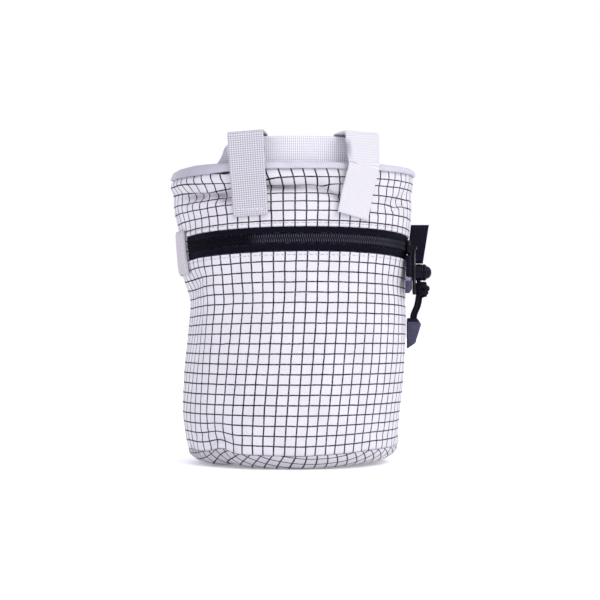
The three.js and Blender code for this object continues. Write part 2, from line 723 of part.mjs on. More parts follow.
function cordLock() {
  const radius = lockDiameter / 2;
  const bore = buttonDiameter / 2 + buttonClearance;
  const floor = lockStart + lockWall;
  const barrel = turnedAlongX(
    [
      [lockStart, 0], [lockStart, radius - 0.8], [lockStart + 0.8, radius], [lockEnd - 0.5, radius],
      [lockEnd, radius - 0.5], [lockEnd, bore], [floor, bore], [floor, 0],
    ],
    20,
  ).translate(0, 0, lockZ);
  const slot = box(strandX, 0, lockZ, slotWide, slotDeep, lockDiameter * 1.2);
  const button = buttonDiameter / 2;
  const inner = floor + pieceGap + buttonTravel;
  const tip = lockEnd + buttonStickOut;
  const plunger = turnedAlongX(
    [
      [inner, 0], [inner, button], [tip - 1.6, button],
      [tip - 0.6, button * 0.84], [tip - 0.1, button * 0.45], [tip, 0],
    ],
    20,
  ).translate(0, 0, lockZ);
  const left = strandX - slotWide / 2;
  const longSlot = slotWide + buttonTravel;
  const window = box(left + longSlot / 2, 0, lockZ, longSlot, slotDeep, lockDiameter * 1.2);
  return [
    blackPlastic('cord_lock_barrel', cutFrom(barrel, slot)),
    blackPlastic('cord_lock_button', cutFrom(plunger, window)),
  ];
}

// The draw cord: the chosen points of its two strands, from the tab through the lock, and below the knot.
const knotTop = lockZ - lockDiameter / 2 - pieceGap;
const knotX = strandX + knotShift;
const knotZ = knotTop - knotHeight / 2;
const endTop = knotTop - knotHeight - endDrop;
const endX = sideX(endTop - endHeight / 2) + endStandoff;
const mouthX = endX + endWidth * mouthShare;

// The lower strands' way down: what each place is measured from, its shift to the right and its drop.
const lowerRoute = [
  { from: knotX, shift: -0.5, drop: 0 },
  { from: knotX, shift: -1.4, drop: 4.5 },
  { from: mouthX, shift: 0.35, drop: 9.5 },
];

function strand(name, points) {
  const section = new THREE.Shape().absarc(0, 0, cordDiameter / 2, 0, 2 * Math.PI);
  const path = new THREE.CatmullRomCurve3(points);
  const steps = Math.max(2, Math.round(path.getLength() / (2.5 * cordDiameter)));
  const settings = { steps, bevelEnabled: false, extrudePath: path, curveSegments: 8 };
  return blackCord(name, new THREE.ExtrudeGeometry(section, settings));
}

function drawCord() {
  const upper = [
    ['cord_upper_front', -strandY],
    ['cord_upper_back', strandY],
  ].map(([name, y]) =>
    strand(name, [
      new THREE.Vector3(strandX, y, tabBottomHeight - pieceGap),
      new THREE.Vector3(strandX, y, knotTop),
    ]),
  );
  const knotLow = knotZ - knotHeight / 2 - pieceGap;
  const lower = [
    ['cord_lower_left', -1],
    ['cord_lower_right', 1],
  ].map(([name, side]) => {
    const [x, y] = [side * strandSpread, side * strandSpread];
    return strand(name, [
      ...lowerRoute.map(({ from, shift, drop }) => new THREE.Vector3(from + shift + x, y, knotLow - drop)),
      new THREE.Vector3(mouthX + x, y, endTop - strandSink),
    ]);
  });
  return [...upper, ...lower];
}

// The knot: three turns of the doubled cord, one lump.
function cordKnot() {
  const turns = [
    { tilt: 12, roll: 20, shift: 1.4 },
    { tilt: -28, roll: -24, shift: -0.2 },
    { tilt: 24, roll: 50, shift: -1.8 },
  ];
  const wrap = cordDiameter * 0.72;
  const reach = knotWidth / 2 - wrap;
  const rings = turns.map(({ tilt, roll, shift }) =>
    new THREE.TorusGeometry(reach, wrap, 8, 18)
      .rotateX((90 + tilt) * degrees)
      .rotateY(roll * degrees * 0.5)
      .translate(0, 0, shift),
  );
  const core = new THREE.SphereGeometry(reach + wrap * 0.5, 14, 10);
  const lump = solid(joined(...rings, core));
  const keep = solid(box(0, 0, 0, 2 * knotWidth, 2 * knotWidth, knotHeight - 2 * pieceGap));
  const geometry = geometryOf(lump.intersect(keep));
  return blackCord('cord_knot', geometry.translate(knotX, 0, knotZ));
}

// The end piece: a flat wedge with a socket on top for the two strands.
function cordEnd() {
  const low = endTop - endHeight;
  const body = plate(
    [
      [endX, low],
      [endX + endWidth * 0.62, low + endHeight * 0.2],
      [endX + endWidth * 0.66, low + endHeight * 0.3],
      [endX + endWidth, endTop - endHeight * 0.2],
      [endX + endWidth * 0.8, endTop - endHeight * 0.06],
      [endX + endWidth * 0.7, endTop],
      [endX, endTop],
    ],
    endThickness,
    0,
  );
  const wide = 2 * strandSpread + slotWide + socketSlack;
  const socket = box(mouthX, 0, endTop, wide, wide - socketSlack, 2 * socketDepth);
  return slatePlastic('cord_end', cutFrom(body, socket));
}

const bag = new THREE.Group();
bag.add(shell(), basePanel(), rimBinding(), ...zip(), zipFittings());
bag.add(beltStrap(), ...beltLoops.map(beltLoop), brushLoop(), sideTab());
bag.add(...cordLock(), ...drawCord(), cordKnot(), cordEnd());

export default bag;
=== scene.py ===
"""The looks of a small climbing chalk bag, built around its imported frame. Tables are in millimetres."""

import math

import bpy
import numpy as np
from mathutils import Matrix, Vector


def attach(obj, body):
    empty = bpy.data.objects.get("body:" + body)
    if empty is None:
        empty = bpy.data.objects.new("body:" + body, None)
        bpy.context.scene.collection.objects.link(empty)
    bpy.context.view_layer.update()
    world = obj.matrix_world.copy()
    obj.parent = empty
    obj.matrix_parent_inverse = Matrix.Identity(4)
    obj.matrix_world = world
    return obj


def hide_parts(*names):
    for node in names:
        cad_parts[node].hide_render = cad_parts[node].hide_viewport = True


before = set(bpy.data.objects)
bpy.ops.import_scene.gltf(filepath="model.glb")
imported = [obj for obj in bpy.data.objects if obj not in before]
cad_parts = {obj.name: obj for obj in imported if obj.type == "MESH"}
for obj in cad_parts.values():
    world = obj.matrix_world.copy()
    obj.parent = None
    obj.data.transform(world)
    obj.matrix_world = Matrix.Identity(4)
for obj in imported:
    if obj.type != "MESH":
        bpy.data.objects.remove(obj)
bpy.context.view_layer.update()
MM = 0.001

# Sizes, in millimetres.

CLOTH_HEIGHT = 167.6
HALF_WIDTH = 66.0
HALF_DEPTH = 60.0
CLOTH_THICKNESS = 2.4
SQUARENESS = 2.12
FOLD_DEPTH = 5.0
PIECE_GAP = 0.3
SEWN_GAP = 0.45
SEAM_HEIGHT = 8.0
BASE_FLAT_SHARE = 0.78
BINDING_THICKNESS = 1.5
BINDING_SLACK = 0.45
BINDING_RISE = 1.9
BINDING_DROP = 2.0
BINDING_SAG = 2.4
BINDING_SAG_ANGLE = -52.0
BINDING_SAG_WIDE = 30.0
BINDING_SHADE = 0.6
BINDING_SHADE_WIDE = 24.0
ZIP_HEIGHT = 121.8
ZIP_OPENING = 13.6
ZIP_RISE = 5.5
ZIP_RISE_PEAK = 12.0
ZIP_START = -66.0
ZIP_END = 85.5
ZIP_END_CLEARANCE = 0.5
ZIP_RECESS = 1.6
TAPE_THICKNESS = 0.8
COIL_WIDTH = 5.4
COIL_THICKNESS = 1.7
SLIDER_ANGLE = 78.0
SLIDER_LENGTH = 10.0
SLIDER_WIDTH = 8.6
SLIDER_PLATE = 1.2
BAR_RADIUS = 0.65
BAR_CLEARANCE = 0.3
BAR_STANDOFF = 2.2
BAR_LENGTH = 4.6
EYE_WALL = 0.7
PULLER_LENGTH = 27.0
PULLER_WIDTH = 7.0
PULLER_THICKNESS = 1.2
PULLER_NECK = 2.6
PULLER_SHOULDER = 5.0
PULLER_TIP_CORNER = 1.9
LEG_THICKNESS = 1.2
LEG_WIDTH = 2.4
LEG_SINK = 0.4
PULL_TAPE = (9.0, 2.6, 11.0)
PULL_TAPE_SHIFT = 0.6
PULL_TAPE_DROP = 1.6
GRIP = (10.5, 2.8, 9.2)
GRIP_SLANT = 2.4
GRIP_TAPER = 1.5
BELT_WIDTH = 20.0
BELT_THICKNESS = 1.3
BELT_RISE = 14.9
LOOP_WIDTH = 20.0
LOOP_THICKNESS = 1.3
LOOP_HEM_HEIGHT = 139.5
LOOP_TAIL_HEIGHT = 150.0
LOOP_TAIL_STRAIGHT = 7.6
LOOP_HEM_STRAIGHT = 6.0
LOOP_RISE = 14.0
BELT_LEAN_AT_LOOPS = 4.0
BELT_PLAY = 4.6
WALL_SPAN = 4.0
BRUSH_LOOP_HEIGHT = 24.8
BRUSH_LOOP_BOTTOM = ZIP_HEIGHT - 13.4
BRUSH_LOOP_THICKNESS = 1.3
BRUSH_LOOP_START = -65.9
BRUSH_LOOP_END = -114.0
BRUSH_LOOP_BOW = 0.3
TAB_TOP = 138.1
TAB_HEIGHT = 22.6
TAB_REACH_TOP = 11.0
TAB_REACH_BOTTOM = 9.6
TAB_THICKNESS = 2.8
LOCK_DIAMETER = 9.8
LOCK_LENGTH = 10.4
LOCK_WALL = 1.0
LOCK_STANDOFF = 1.6
BUTTON_DIAMETER = 7.4
BUTTON_CLEARANCE = 0.3
BUTTON_TRAVEL = 2.2
BUTTON_STICK_OUT = 2.9
CORD_DIAMETER = 2.3
KNOT_WIDTH = 9.6
KNOT_HEIGHT = 9.6
END_WIDTH = 8.1
END_HEIGHT = 18.0
END_THICKNESS = 6.4
END_DROP = 11.8
END_STANDOFF = 0.9
MOUTH_SHARE = 0.46
SOCKET_DEPTH = 3.2
SOCKET_SLACK = 0.4
STRAND_SHARE = 0.56
STRAND_SPREAD = 0.93
STRAND_SINK = 2.4
KNOT_SHIFT = 0.6
KNOT_BULGE = 0.9

# The camera.

CAMERA_PLACE = (0.0047, -0.9, 0.079)
CAMERA_TILT_UP = 0.97
CAMERA_LENS = 92.46


def set_camera():
    turn = (math.radians(90 + CAMERA_TILT_UP), 0, 0)
    bpy.ops.object.select_all(action="DESELECT")
    bpy.ops.object.camera_add(location=CAMERA_PLACE, rotation=turn)
    camera = bpy.context.object
    camera.name = "camera"
    camera.data.lens = CAMERA_LENS
    camera.data.sensor_width = 36
    bpy.context.scene.camera = camera


set_camera()

# The cloth's form.

# Share of the cloth's height, then left, right, front and back as shares of half the width or depth.
SECTIONS = np.array([
    (0.0, 0.88, 0.895, 0.92, 0.92),
    (0.045, 0.912, 0.925, 0.955, 0.955),
    (0.09, 0.94, 0.935, 0.98, 0.98),
    (0.18, 0.965, 0.952, 1.0, 1.0),
    (0.27, 0.957, 0.978, 1.01, 1.015),
    (0.36, 0.942, 0.998, 1.012, 1.02),
    (0.45, 0.92, 1.004, 1.008, 1.015),
    (0.54, 0.905, 1.004, 1.0, 1.01),
    (0.6, 0.935, 1.004, 0.992, 1.005),
    (0.66, 0.974, 1.01, 0.985, 1.0),
    (0.73, 0.99, 1.022, 0.98, 0.995),
    (0.81, 1.005, 1.045, 0.975, 0.995),
    (0.87, 1.04, 1.055, 0.968, 1.0),
    (0.92, 1.045, 1.052, 0.955, 1.005),
    (0.96, 1.068, 1.066, 0.945, 1.005),
    (1.0, 1.03, 1.055, 0.92, 0.99),
])
LEFT, RIGHT, FRONT, BACK = 1, 2, 3, 4

# Name, angle, height share, half angle, half height, climb for each degree, depth as a share of FOLD_DEPTH.
FOLDS = [
    ("tuck under the rim", -3, 0.925, 17, 0.02, 0, 0.85),
    ("roll over that tuck", -2, 0.962, 18, 0.016, 0, -0.3),
    ("tuck turning down", 19, 0.895, 9, 0.022, -0.004, 0.6),
    ("left tuck", -46, 0.902, 17, 0.024, -0.0006, 0.8),
    ("roll over it", -52, 0.95, 20, 0.02, 0, -0.3),
    ("right tuck", 58, 0.88, 12, 0.024, 0.0018, 0.5),
    ("firm left corner", -46, 0.5, 10, 0.2, 0, -0.5),
    ("flat left side", -70, 0.52, 15, 0.18, 0, 0.35),
    ("low left crease", -66, 0.6, 22, 0.03, 0.0012, 0.4),
    ("slider dent", 62, 0.6, 16, 0.05, -0.001, 0.25),
    ("pleat at the base", -40, 0.07, 12, 0.03, 0.001, 0.3),
    ("sag of the back", 170, 0.84, 34, 0.05, 0.0004, 0.6),
    ("low back crease", 205, 0.4, 30, 0.05, -0.0008, 0.4),
]

# The small creases that only the cloth itself shows, in the same columns.
CREASES = [
    ("sharp lip of the front tuck", -4, 0.938, 12, 0.006, 0.0003, -0.14),
    ("second fold under the rim", -2, 0.902, 12, 0.008, 0.0004, -0.1),
    ("crease down to the right", 17, 0.905, 5, 0.012, -0.006, 0.16),
    ("crease beside the left loop", -34, 0.895, 4, 0.016, 0.002, 0.3),
    ("ridge left of that crease", -43, 0.905, 3.5, 0.02, -0.006, -0.2),
    ("dent at the far left", -56, 0.888, 8, 0.012, 0.0008, 0.24),
    ("lip over that dent", -58, 0.91, 9, 0.008, 0.0008, -0.16),
    ("small notch at the left edge", -88, 0.87, 7, 0.008, 0.001, 0.2),
    ("second notch at the left edge", -92, 0.835, 7, 0.008, 0.001, 0.16),
    ("pucker right of the right loop", 56, 0.852, 5, 0.008, 0.003, 0.18),
    ("pucker beyond it", 66, 0.872, 6, 0.008, -0.002, 0.16),
    ("pucker under the right loop", 44, 0.83, 6, 0.008, 0.002, 0.12),
    ("ripple right of the front", 27, 0.945, 9, 0.01, -0.001, 0.16),
    ("soft dent of the body, left", -30, 0.33, 8, 0.07, 0.004, 0.06),
    ("soft dent of the body, right", 40, 0.38, 10, 0.08, -0.003, 0.07),
    ("soft swell of the body", 8, 0.5, 16, 0.09, 0.002, -0.06),
    ("crease over the base, left", -52, 0.105, 10, 0.012, 0.0015, 0.14),
    ("crease over the base, right", 50, 0.1, 12, 0.01, -0.001, 0.12),
    ("crease of the right side", 98, 0.56, 14, 0.014, 0.001, 0.2),
    ("second crease of the right side", 112, 0.5, 12, 0.014, -0.002, 0.16),
    ("crease of the back, high", 150, 0.9, 16, 0.012, 0.001, 0.3),
    ("crease of the back, middle", 188, 0.62, 20, 0.016, -0.001, 0.25),
    ("crease of the back, left", 228, 0.8, 14, 0.014, 0.0015, 0.28),
    ("crease of the back, low", 160, 0.2, 18, 0.014, 0.001, 0.2),
]

# Where the cloth above a tuck hangs over it, in the same columns, the last one the drop in millimetres.
OVERHANGS = [
    ("lip over the front tuck", -4, 0.941, 16, 0.009, 0.0, 1.7),
    ("lip where it turns down", 18, 0.915, 9, 0.010, -0.0035, 1.4),
    ("lip over the left tuck", -44, 0.922, 16, 0.010, -0.0006, 1.5),
    ("lip beside the left loop", -31, 0.897, 4, 0.009, 0.0, 1.2),
    ("lip right of the right loop", 58, 0.868, 10, 0.009, 0.002, 0.9),
]

# Places deep in the folds that are painted darker than their depth makes them, in the same columns, the last
# one how dark from 0 to 1.
SHADED_FOLDS = [
    ("front tuck", -6, 0.919, 15, 0.012, 0.0, 0.85),
    ("turn of the front tuck", 12, 0.909, 5, 0.010, -0.003, 0.35),
    ("tuck beside the right loop", 23, 0.892, 6, 0.012, 0.0, 0.5),
    ("tuck beside the left loop", -34, 0.902, 9, 0.014, 0.0005, 0.95),
    ("patch under that tuck", -30, 0.876, 4.5, 0.013, 0.0, 0.85),
    ("tuck at the far left", -54, 0.902, 9, 0.011, 0.0, 0.7),
    ("over the front tuck", -8, 0.942, 12, 0.009, 0.0, 0.3),
    ("notch at the left edge", -80, 0.85, 8, 0.012, 0.0, 0.3),
    ("under the brush loop", -62, 0.62, 12, 0.03, 0.002, 0.12),
    ("pleat over the base", -40, 0.075, 8, 0.012, 0.002, 0.3),
]


def smooth_step(t):
    t = np.clip(t, 0, 1)
    return t * t * (3 - 2 * t)


def table_value(column, share):
    """A smooth value of one column of the section table."""
    rows, values = SECTIONS[:, 0], SECTIONS[:, column]
    last = len(rows) - 1
    i = np.clip(np.searchsorted(rows, share, side="left"), 1, last)
    span = rows[i] - rows[i - 1]
    t = np.clip((share - rows[i - 1]) / span, 0, 1)

    def slope(k):
        after, before = np.minimum(k + 1, last), np.maximum(k - 1, 0)
        return (values[after] - values[before]) / (rows[after] - rows[before]) * span

    a, b, m, n = values[i - 1], values[i], slope(i - 1), slope(i)
    return a + t * m + t * t * (3 * (b - a) - 2 * m - n) + t ** 3 * (2 * (a - b) + m + n)


def lift(angle, height):
    """How far the cloth is lifted where the zip rises towards the front."""
    around = np.maximum(0, np.cos(np.radians(angle - ZIP_RISE_PEAK)))
    below = smooth_step((height / ZIP_HEIGHT - 0.45) / 0.55)
    above = smooth_step((CLOTH_HEIGHT - height) / (CLOTH_HEIGHT - ZIP_HEIGHT))
    return ZIP_RISE * around * np.minimum(below, above)


def outline(angle, height):
    share = height / CLOTH_HEIGHT
    s, c = np.sin(np.radians(angle)), np.cos(np.radians(angle))
    across = HALF_WIDTH * np.where(s < 0, table_value(LEFT, share), table_value(RIGHT, share))
    along = HALF_DEPTH * np.where(c > 0, table_value(FRONT, share), table_value(BACK, share))
    power = 2 / SQUARENESS
    return across * np.sign(s) * np.abs(s) ** power, -along * np.sign(c) * np.abs(c) ** power


def swell(table, angle, height):
    """The sum of a table's soft swells at a place, by its last column."""
    total = np.zeros(np.broadcast(angle, height).shape)
    for _, middle, level, half_angle, half_height, climb, size in table:
        turn = (angle - middle + 540) % 360 - 180
        across = turn / half_angle
        up = (height / CLOTH_HEIGHT - level - climb * turn) / half_height
        total = total + size * np.exp(-across * across - up * up)
    return total


def press(table, angle, height):
    """How far the folds of a table press the cloth inwards, in millimetres."""
    return FOLD_DEPTH * swell(table, angle, height)


def outwards(angle, height):
    step = 2
    ax, ay = outline(angle + step, height)
    bx, by = outline(angle - step, height)
    length = np.hypot(ax - bx, ay - by)
    return (ay - by) / length, -(ax - bx) / length


def cloth_point(angle, height, out=0.0):
    """Points on the cloth, or off it by a distance outwards, as an array of x, y, z in millimetres."""
    angle, height, out = np.broadcast_arrays(*(np.asarray(v, float) for v in (angle, height, out)))
    nx, ny = outwards(angle, height)
    x, y = outline(angle, height)
    off = out - press(FOLDS, angle, height)
    return np.stack([x + nx * off, y + ny * off, height + lift(angle, height)], axis=-1)


def height_of(angle, z):
    height = np.asarray(z, float) + 0 * np.asarray(angle, float)
    for _ in range(8):
        height = z - lift(angle, height)
    return height


def cloth_point_at(angle, z, out=0.0):
    point = cloth_point(angle, height_of(angle, z), out)
    point[..., 2] = z
    return point


# Distance round the cloth in millimetres, at one height, and back from it to the angle.
ROUND_ANGLES = np.linspace(-180, 180, 1441)


def round_lengths(height):
    points = cloth_point(ROUND_ANGLES, height)[:, :2]
    steps = np.hypot(*np.diff(points, axis=0).T)
    lengths = np.concatenate([[0], np.cumsum(steps)])
    return lengths - np.interp(0, ROUND_ANGLES, lengths)


GRID_LENGTHS = round_lengths(0.42 * CLOTH_HEIGHT)
ZIP_LENGTHS = round_lengths(ZIP_HEIGHT)


def angle_at(distance, lengths):
    return np.interp(distance, lengths, ROUND_ANGLES)


# Making meshes.


def select_only(*objects):
    bpy.ops.object.select_all(action="DESELECT")
    for obj in objects:
        obj.select_set(True)
    bpy.context.view_layer.objects.active = objects[0]


def finish_piece(obj, name, materials, body="bag", nodes=(), smooth=True):
    obj.name = name
    obj.data.name = name
    for material in materials:
        obj.data.materials.append(material)
    if smooth:
        obj.data.polygons.foreach_set("use_smooth", [True] * len(obj.data.polygons))
    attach(obj, body)
    if nodes:
        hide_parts(*nodes)
    return obj


def mesh_object(points, faces, uvs=None, material_index=None):
    """A new mesh from points in millimetres; uvs in metres, one for each corner of each face."""
    mesh = bpy.data.meshes.new("piece")
    mesh.from_pydata([tuple(p) for p in np.asarray(points) * MM], [], faces)
    if uvs is not None:
        layer = mesh.uv_layers.new(name="UVMap")
        layer.data.foreach_set("uv", np.asarray(uvs, float).ravel())
    if material_index is not None:
        mesh.polygons.foreach_set("material_index", material_index)
    mesh.update()
    obj = bpy.data.objects.new("piece", mesh)
    bpy.context.scene.collection.objects.link(obj)
    return obj


def loft(grid, u, v, around=False, along=False, caps=True, second_material=None):
    """A body through a grid of points, rows by columns. around closes the columns, along closes the rows."""
    rows, columns = grid.shape[:2]
    points = list(grid.reshape(-1, 3))
    corners = (rows + 1, columns + 1)
    u = np.broadcast_to(u, corners)
    v = np.broadcast_to(np.reshape(v, (-1, 1)) if np.ndim(v) == 1 else v, corners)
    faces, uvs, index = [], [], []
    for i in range(rows if along else rows - 1):
        for j in range(columns if around else columns - 1):
            a, b = (i + 1) % rows, (j + 1) % columns
            faces.append((i * columns + j, i * columns + b, a * columns + b, a * columns + j))
            uvs += [(u[i, j], v[i, j]), (u[i, j + 1], v[i, j + 1]),
                    (u[i + 1, j + 1], v[i + 1, j + 1]), (u[i + 1, j], v[i + 1, j])]
            index.append(int(second_material(i, j)) if second_material else 0)
    if caps and not along:
        for row, backwards in ((0, True), (rows - 1, False)):
            middle = grid[row].mean(axis=0)
            points.append(middle)
            for j in range(columns):
                pair = [row * columns + j, row * columns + (j + 1) % columns]
                corner = [(u[row, j], v[row, j]), (u[row, j + 1], v[row, j + 1])]
                if backwards:
                    pair.reverse()
                    corner.reverse()
                faces.append((len(points) - 1, pair[0], pair[1]))
                uvs += [(np.mean(u[row, :-1]), v[row, 0]), *corner]
                index.append(0)
    obj = mesh_object(points, faces, np.array(uvs) * MM, index)
    face_outwards(obj)
    return obj


def face_outwards(obj):
    """Turns a closed mesh the right way out, by the sign of its volume."""
    mesh = obj.data
    mesh.calc_loop_triangles()
    corners = np.empty(len(mesh.vertices) * 3)
    mesh.vertices.foreach_get("co", corners)
    corners = corners.reshape(-1, 3)
    triangles = np.empty(len(mesh.loop_triangles) * 3, dtype=int)
    mesh.loop_triangles.foreach_get("vertices", triangles)
    a, b, c = (corners[triangles[k::3]] for k in range(3))
    if np.einsum("ij,ij->i", a, np.cross(b, c)).sum() < 0:
        mesh.flip_normals()


def set_fold_shade(obj, values):
    """Stores how dark each place of a piece is painted, from 0 to 1, for its material."""
    padded = np.zeros(len(obj.data.vertices))
    padded[:np.size(values)] = np.clip(np.ravel(values), 0, 1)
    obj.data.attributes.new("fold_shade", "FLOAT", "POINT").data.foreach_set("value", padded)


def band_section(width, thickness, across=14, edge=4, selvedge=0.06):
    """The outline of a piece of webbing: across its width and through its thickness, with round edges."""
    half, thick = width / 2, thickness / 2
    flat = np.linspace(-half + thick, half - thick, across)
    swell = 1 + selvedge * (np.abs(flat) / half) ** 8
    turn = np.linspace(math.pi / 2, -math.pi / 2, edge + 2)[1:-1]
    top = np.stack([flat, thick * swell], axis=1)
    right = np.stack([half - thick + thick * np.cos(turn), thick * np.sin(turn)], axis=1)
    bottom = np.stack([flat[::-1], -thick * swell], axis=1)
    left = np.stack([-half + thick - thick * np.cos(turn), -thick * np.sin(turn)], axis=1)
    return np.concatenate([top, right, bottom, left])


def band(middles, wides, thicks, section):
    """Webbing carried along a line: the way its width points and the way its face points at each place."""
    middles, wides, thicks = (np.asarray(a, float) for a in (middles, wides, thicks))
    sections = section if section.ndim == 3 else section[None]
    grid = middles[:, None] + wides[:, None] * sections[..., :1] + thicks[:, None] * sections[..., 1:]
    steps = np.linalg.norm(np.diff(middles, axis=0), axis=1)
    v = np.concatenate([[0], np.cumsum(steps), [steps.sum()]])
    flat = sections[0]
    u = np.concatenate([flat[:, 0], flat[:1, 0]])
    return loft(grid, u, v, around=True)


def between(p0, p1, p2, p3, t):
    """A place on the smooth curve from p1 to p2, with the points before and after them."""
    return 0.5 * (2 * p1 + (p2 - p0) * t + (2 * p0 - 5 * p1 + 4 * p2 - p3) * t ** 2
                  + (3 * p1 - p0 - 3 * p2 + p3) * t ** 3)


def smooth_line(points, count):
    """Evenly spaced points on a smooth curve through the given ones, of any number of columns."""
    points = np.asarray(points, float)
    last = len(points) - 1
    fine = np.linspace(0, last, 40 * len(points))
    i = np.clip(fine.astype(int), 0, last - 1)
    line = between(points[np.maximum(i - 1, 0)], points[i], points[i + 1], points[np.minimum(i + 2, last)],
                   (fine - i)[:, None])
    steps = np.linalg.norm(np.diff(line[:, :3], axis=0), axis=1)
    length = np.concatenate([[0], np.cumsum(steps)])
    even = np.linspace(0, length[-1], count)
    return np.stack([np.interp(even, length, line[:, k]) for k in range(points.shape[1])], axis=1)


def unit(v):
    return v / np.linalg.norm(v, axis=-1, keepdims=True)


def tube(points, radius, sides=16):
    """A round cord along points, with its far ends closed, and u round it, v along it."""
    points = np.asarray(points, float)
    along = unit(np.gradient(points, axis=0))
    side = np.zeros_like(points)
    start = np.cross(along[0], [0.3, 1, 0.2])
    side[0] = start / np.linalg.norm(start)
    for i in range(1, len(points)):
        s = side[i - 1] - along[i] * np.dot(side[i - 1], along[i])
        side[i] = s / np.linalg.norm(s)
    other = np.cross(along, side)
    turn = np.linspace(0, 2 * math.pi, sides, endpoint=False)
    grid = points[:, None] + radius * (side[:, None] * np.cos(turn)[None, :, None]
                                       + other[:, None] * np.sin(turn)[None, :, None])
    steps = np.linalg.norm(np.diff(points, axis=0), axis=1)
    v = np.concatenate([[0], np.cumsum(steps), [steps.sum()]])
    u = np.linspace(0, 2 * math.pi * radius, sides + 1)
    return loft(grid, u, v, around=True)


# Materials.

# The largest share of the darker colour where a fold's shade is painted.
MOST_SHADE = 0.75


class Finish:
    """A material being made from nodes, with short ways to add them."""

    def __init__(self, name, colour, roughness, shine=0.3):
        self.material = bpy.data.materials.new(name)
        self.material.use_nodes = True
        self.nodes = self.material.node_tree.nodes
        self.links = self.material.node_tree.links
        self.shader = self.nodes["Principled BSDF"]
        self.shader.inputs["Base Color"].default_value = (*colour, 1)
        self.shader.inputs["Roughness"].default_value = roughness
        self.shader.inputs["Specular IOR Level"].default_value = shine
        self.material.diffuse_color = (*colour, 1)

    def node(self, kind, inputs=(), **settings):
        made = self.nodes.new(kind)
        for key, value in settings.items():
            setattr(made, key, value)
        for key, value in dict(inputs).items():
            self.feed(made.inputs[key], value)
        return made

    def feed(self, socket, value):
        if isinstance(value, bpy.types.NodeSocket):
            self.links.new(value, socket)
        else:
            socket.default_value = value

    def math(self, operation, a, b=0.0, c=0.0):
        made = self.node("ShaderNodeMath", operation=operation)
        for socket, value in zip(made.inputs, (a, b, c)):
            self.feed(socket, value)
        return made.outputs[0]

    def uv(self):
        place = self.node("ShaderNodeUVMap", uv_map="UVMap")
        split = self.node("ShaderNodeSeparateXYZ", {"Vector": place.outputs[0]})
        return place.outputs[0], split.outputs[0], split.outputs[1]

    def place(self):
        return self.node("ShaderNodeTexCoord").outputs["Object"]

    def noise(self, where, scale, detail=2.0, roughness=0.5):
        made = self.node("ShaderNodeTexNoise", {"Vector": where, "Scale": scale, "Detail": detail,
                                                "Roughness": roughness})
        return made.outputs[0]

    def ramp(self, value, low, high, to_low=0.0, to_high=1.0, smooth=False):
        made = self.node("ShaderNodeMapRange", {"Value": value, "From Min": low, "From Max": high,
                                                "To Min": to_low, "To Max": to_high})
        made.interpolation_type = "SMOOTHSTEP" if smooth else "LINEAR"
        return made.outputs[0]

    def mix(self, share, a, b):
        made = self.node("ShaderNodeMix", data_type="RGBA")
        colours = [s for s in made.inputs if s.type == "RGBA"]
        self.feed(made.inputs[0], share)
        for socket, value in zip(colours, (a, b)):
            self.feed(socket, (*value, 1) if isinstance(value, tuple) else value)
        return [s for s in made.outputs if s.type == "RGBA"][0]

    def lines(self, distance, pitch, half_line, soft, phase=0.0):
        """1 on a set of lines every pitch along a distance, both in metres."""
        turns = self.math("MULTIPLY_ADD", distance, 1 / pitch, phase)
        from_line = self.math("PINGPONG", turns, 0.5)
        return self.ramp(from_line, (half_line + soft) / pitch, max(half_line - soft, 0) / pitch, 0, 1, True)

    def wave(self, distance, pitch, phase=0.0):
        """A soft wave from 0 to 1 with a given pitch along a distance."""
        turns = self.math("MULTIPLY_ADD", distance, 2 * math.pi / pitch, phase)
        return self.math("MULTIPLY_ADD", self.math("SINE", turns), 0.5, 0.5)

    def bump(self, height, distance, strength):
        inputs = {"Height": height, "Distance": distance, "Strength": strength}
        return self.node("ShaderNodeBump", inputs).outputs[0]

    def shaded(self, colour, shade_colour):
        """The colour, mixed towards a darker one where the piece's attribute fold_shade says so."""
        shade = self.node("ShaderNodeAttribute", attribute_name="fold_shade").outputs["Fac"]
        return self.mix(self.math("MULTIPLY", shade, MOST_SHADE), colour, shade_colour)

    def done(self, **sockets):
        for name, value in sockets.items():
            self.feed(self.shader.inputs[name.replace("_", " ")], value)
        return self.material


GRID_ACROSS = 0.006
GRID_UP = 0.0056
GRID_LINE = 0.00045
INK = (0.006, 0.005, 0.016)


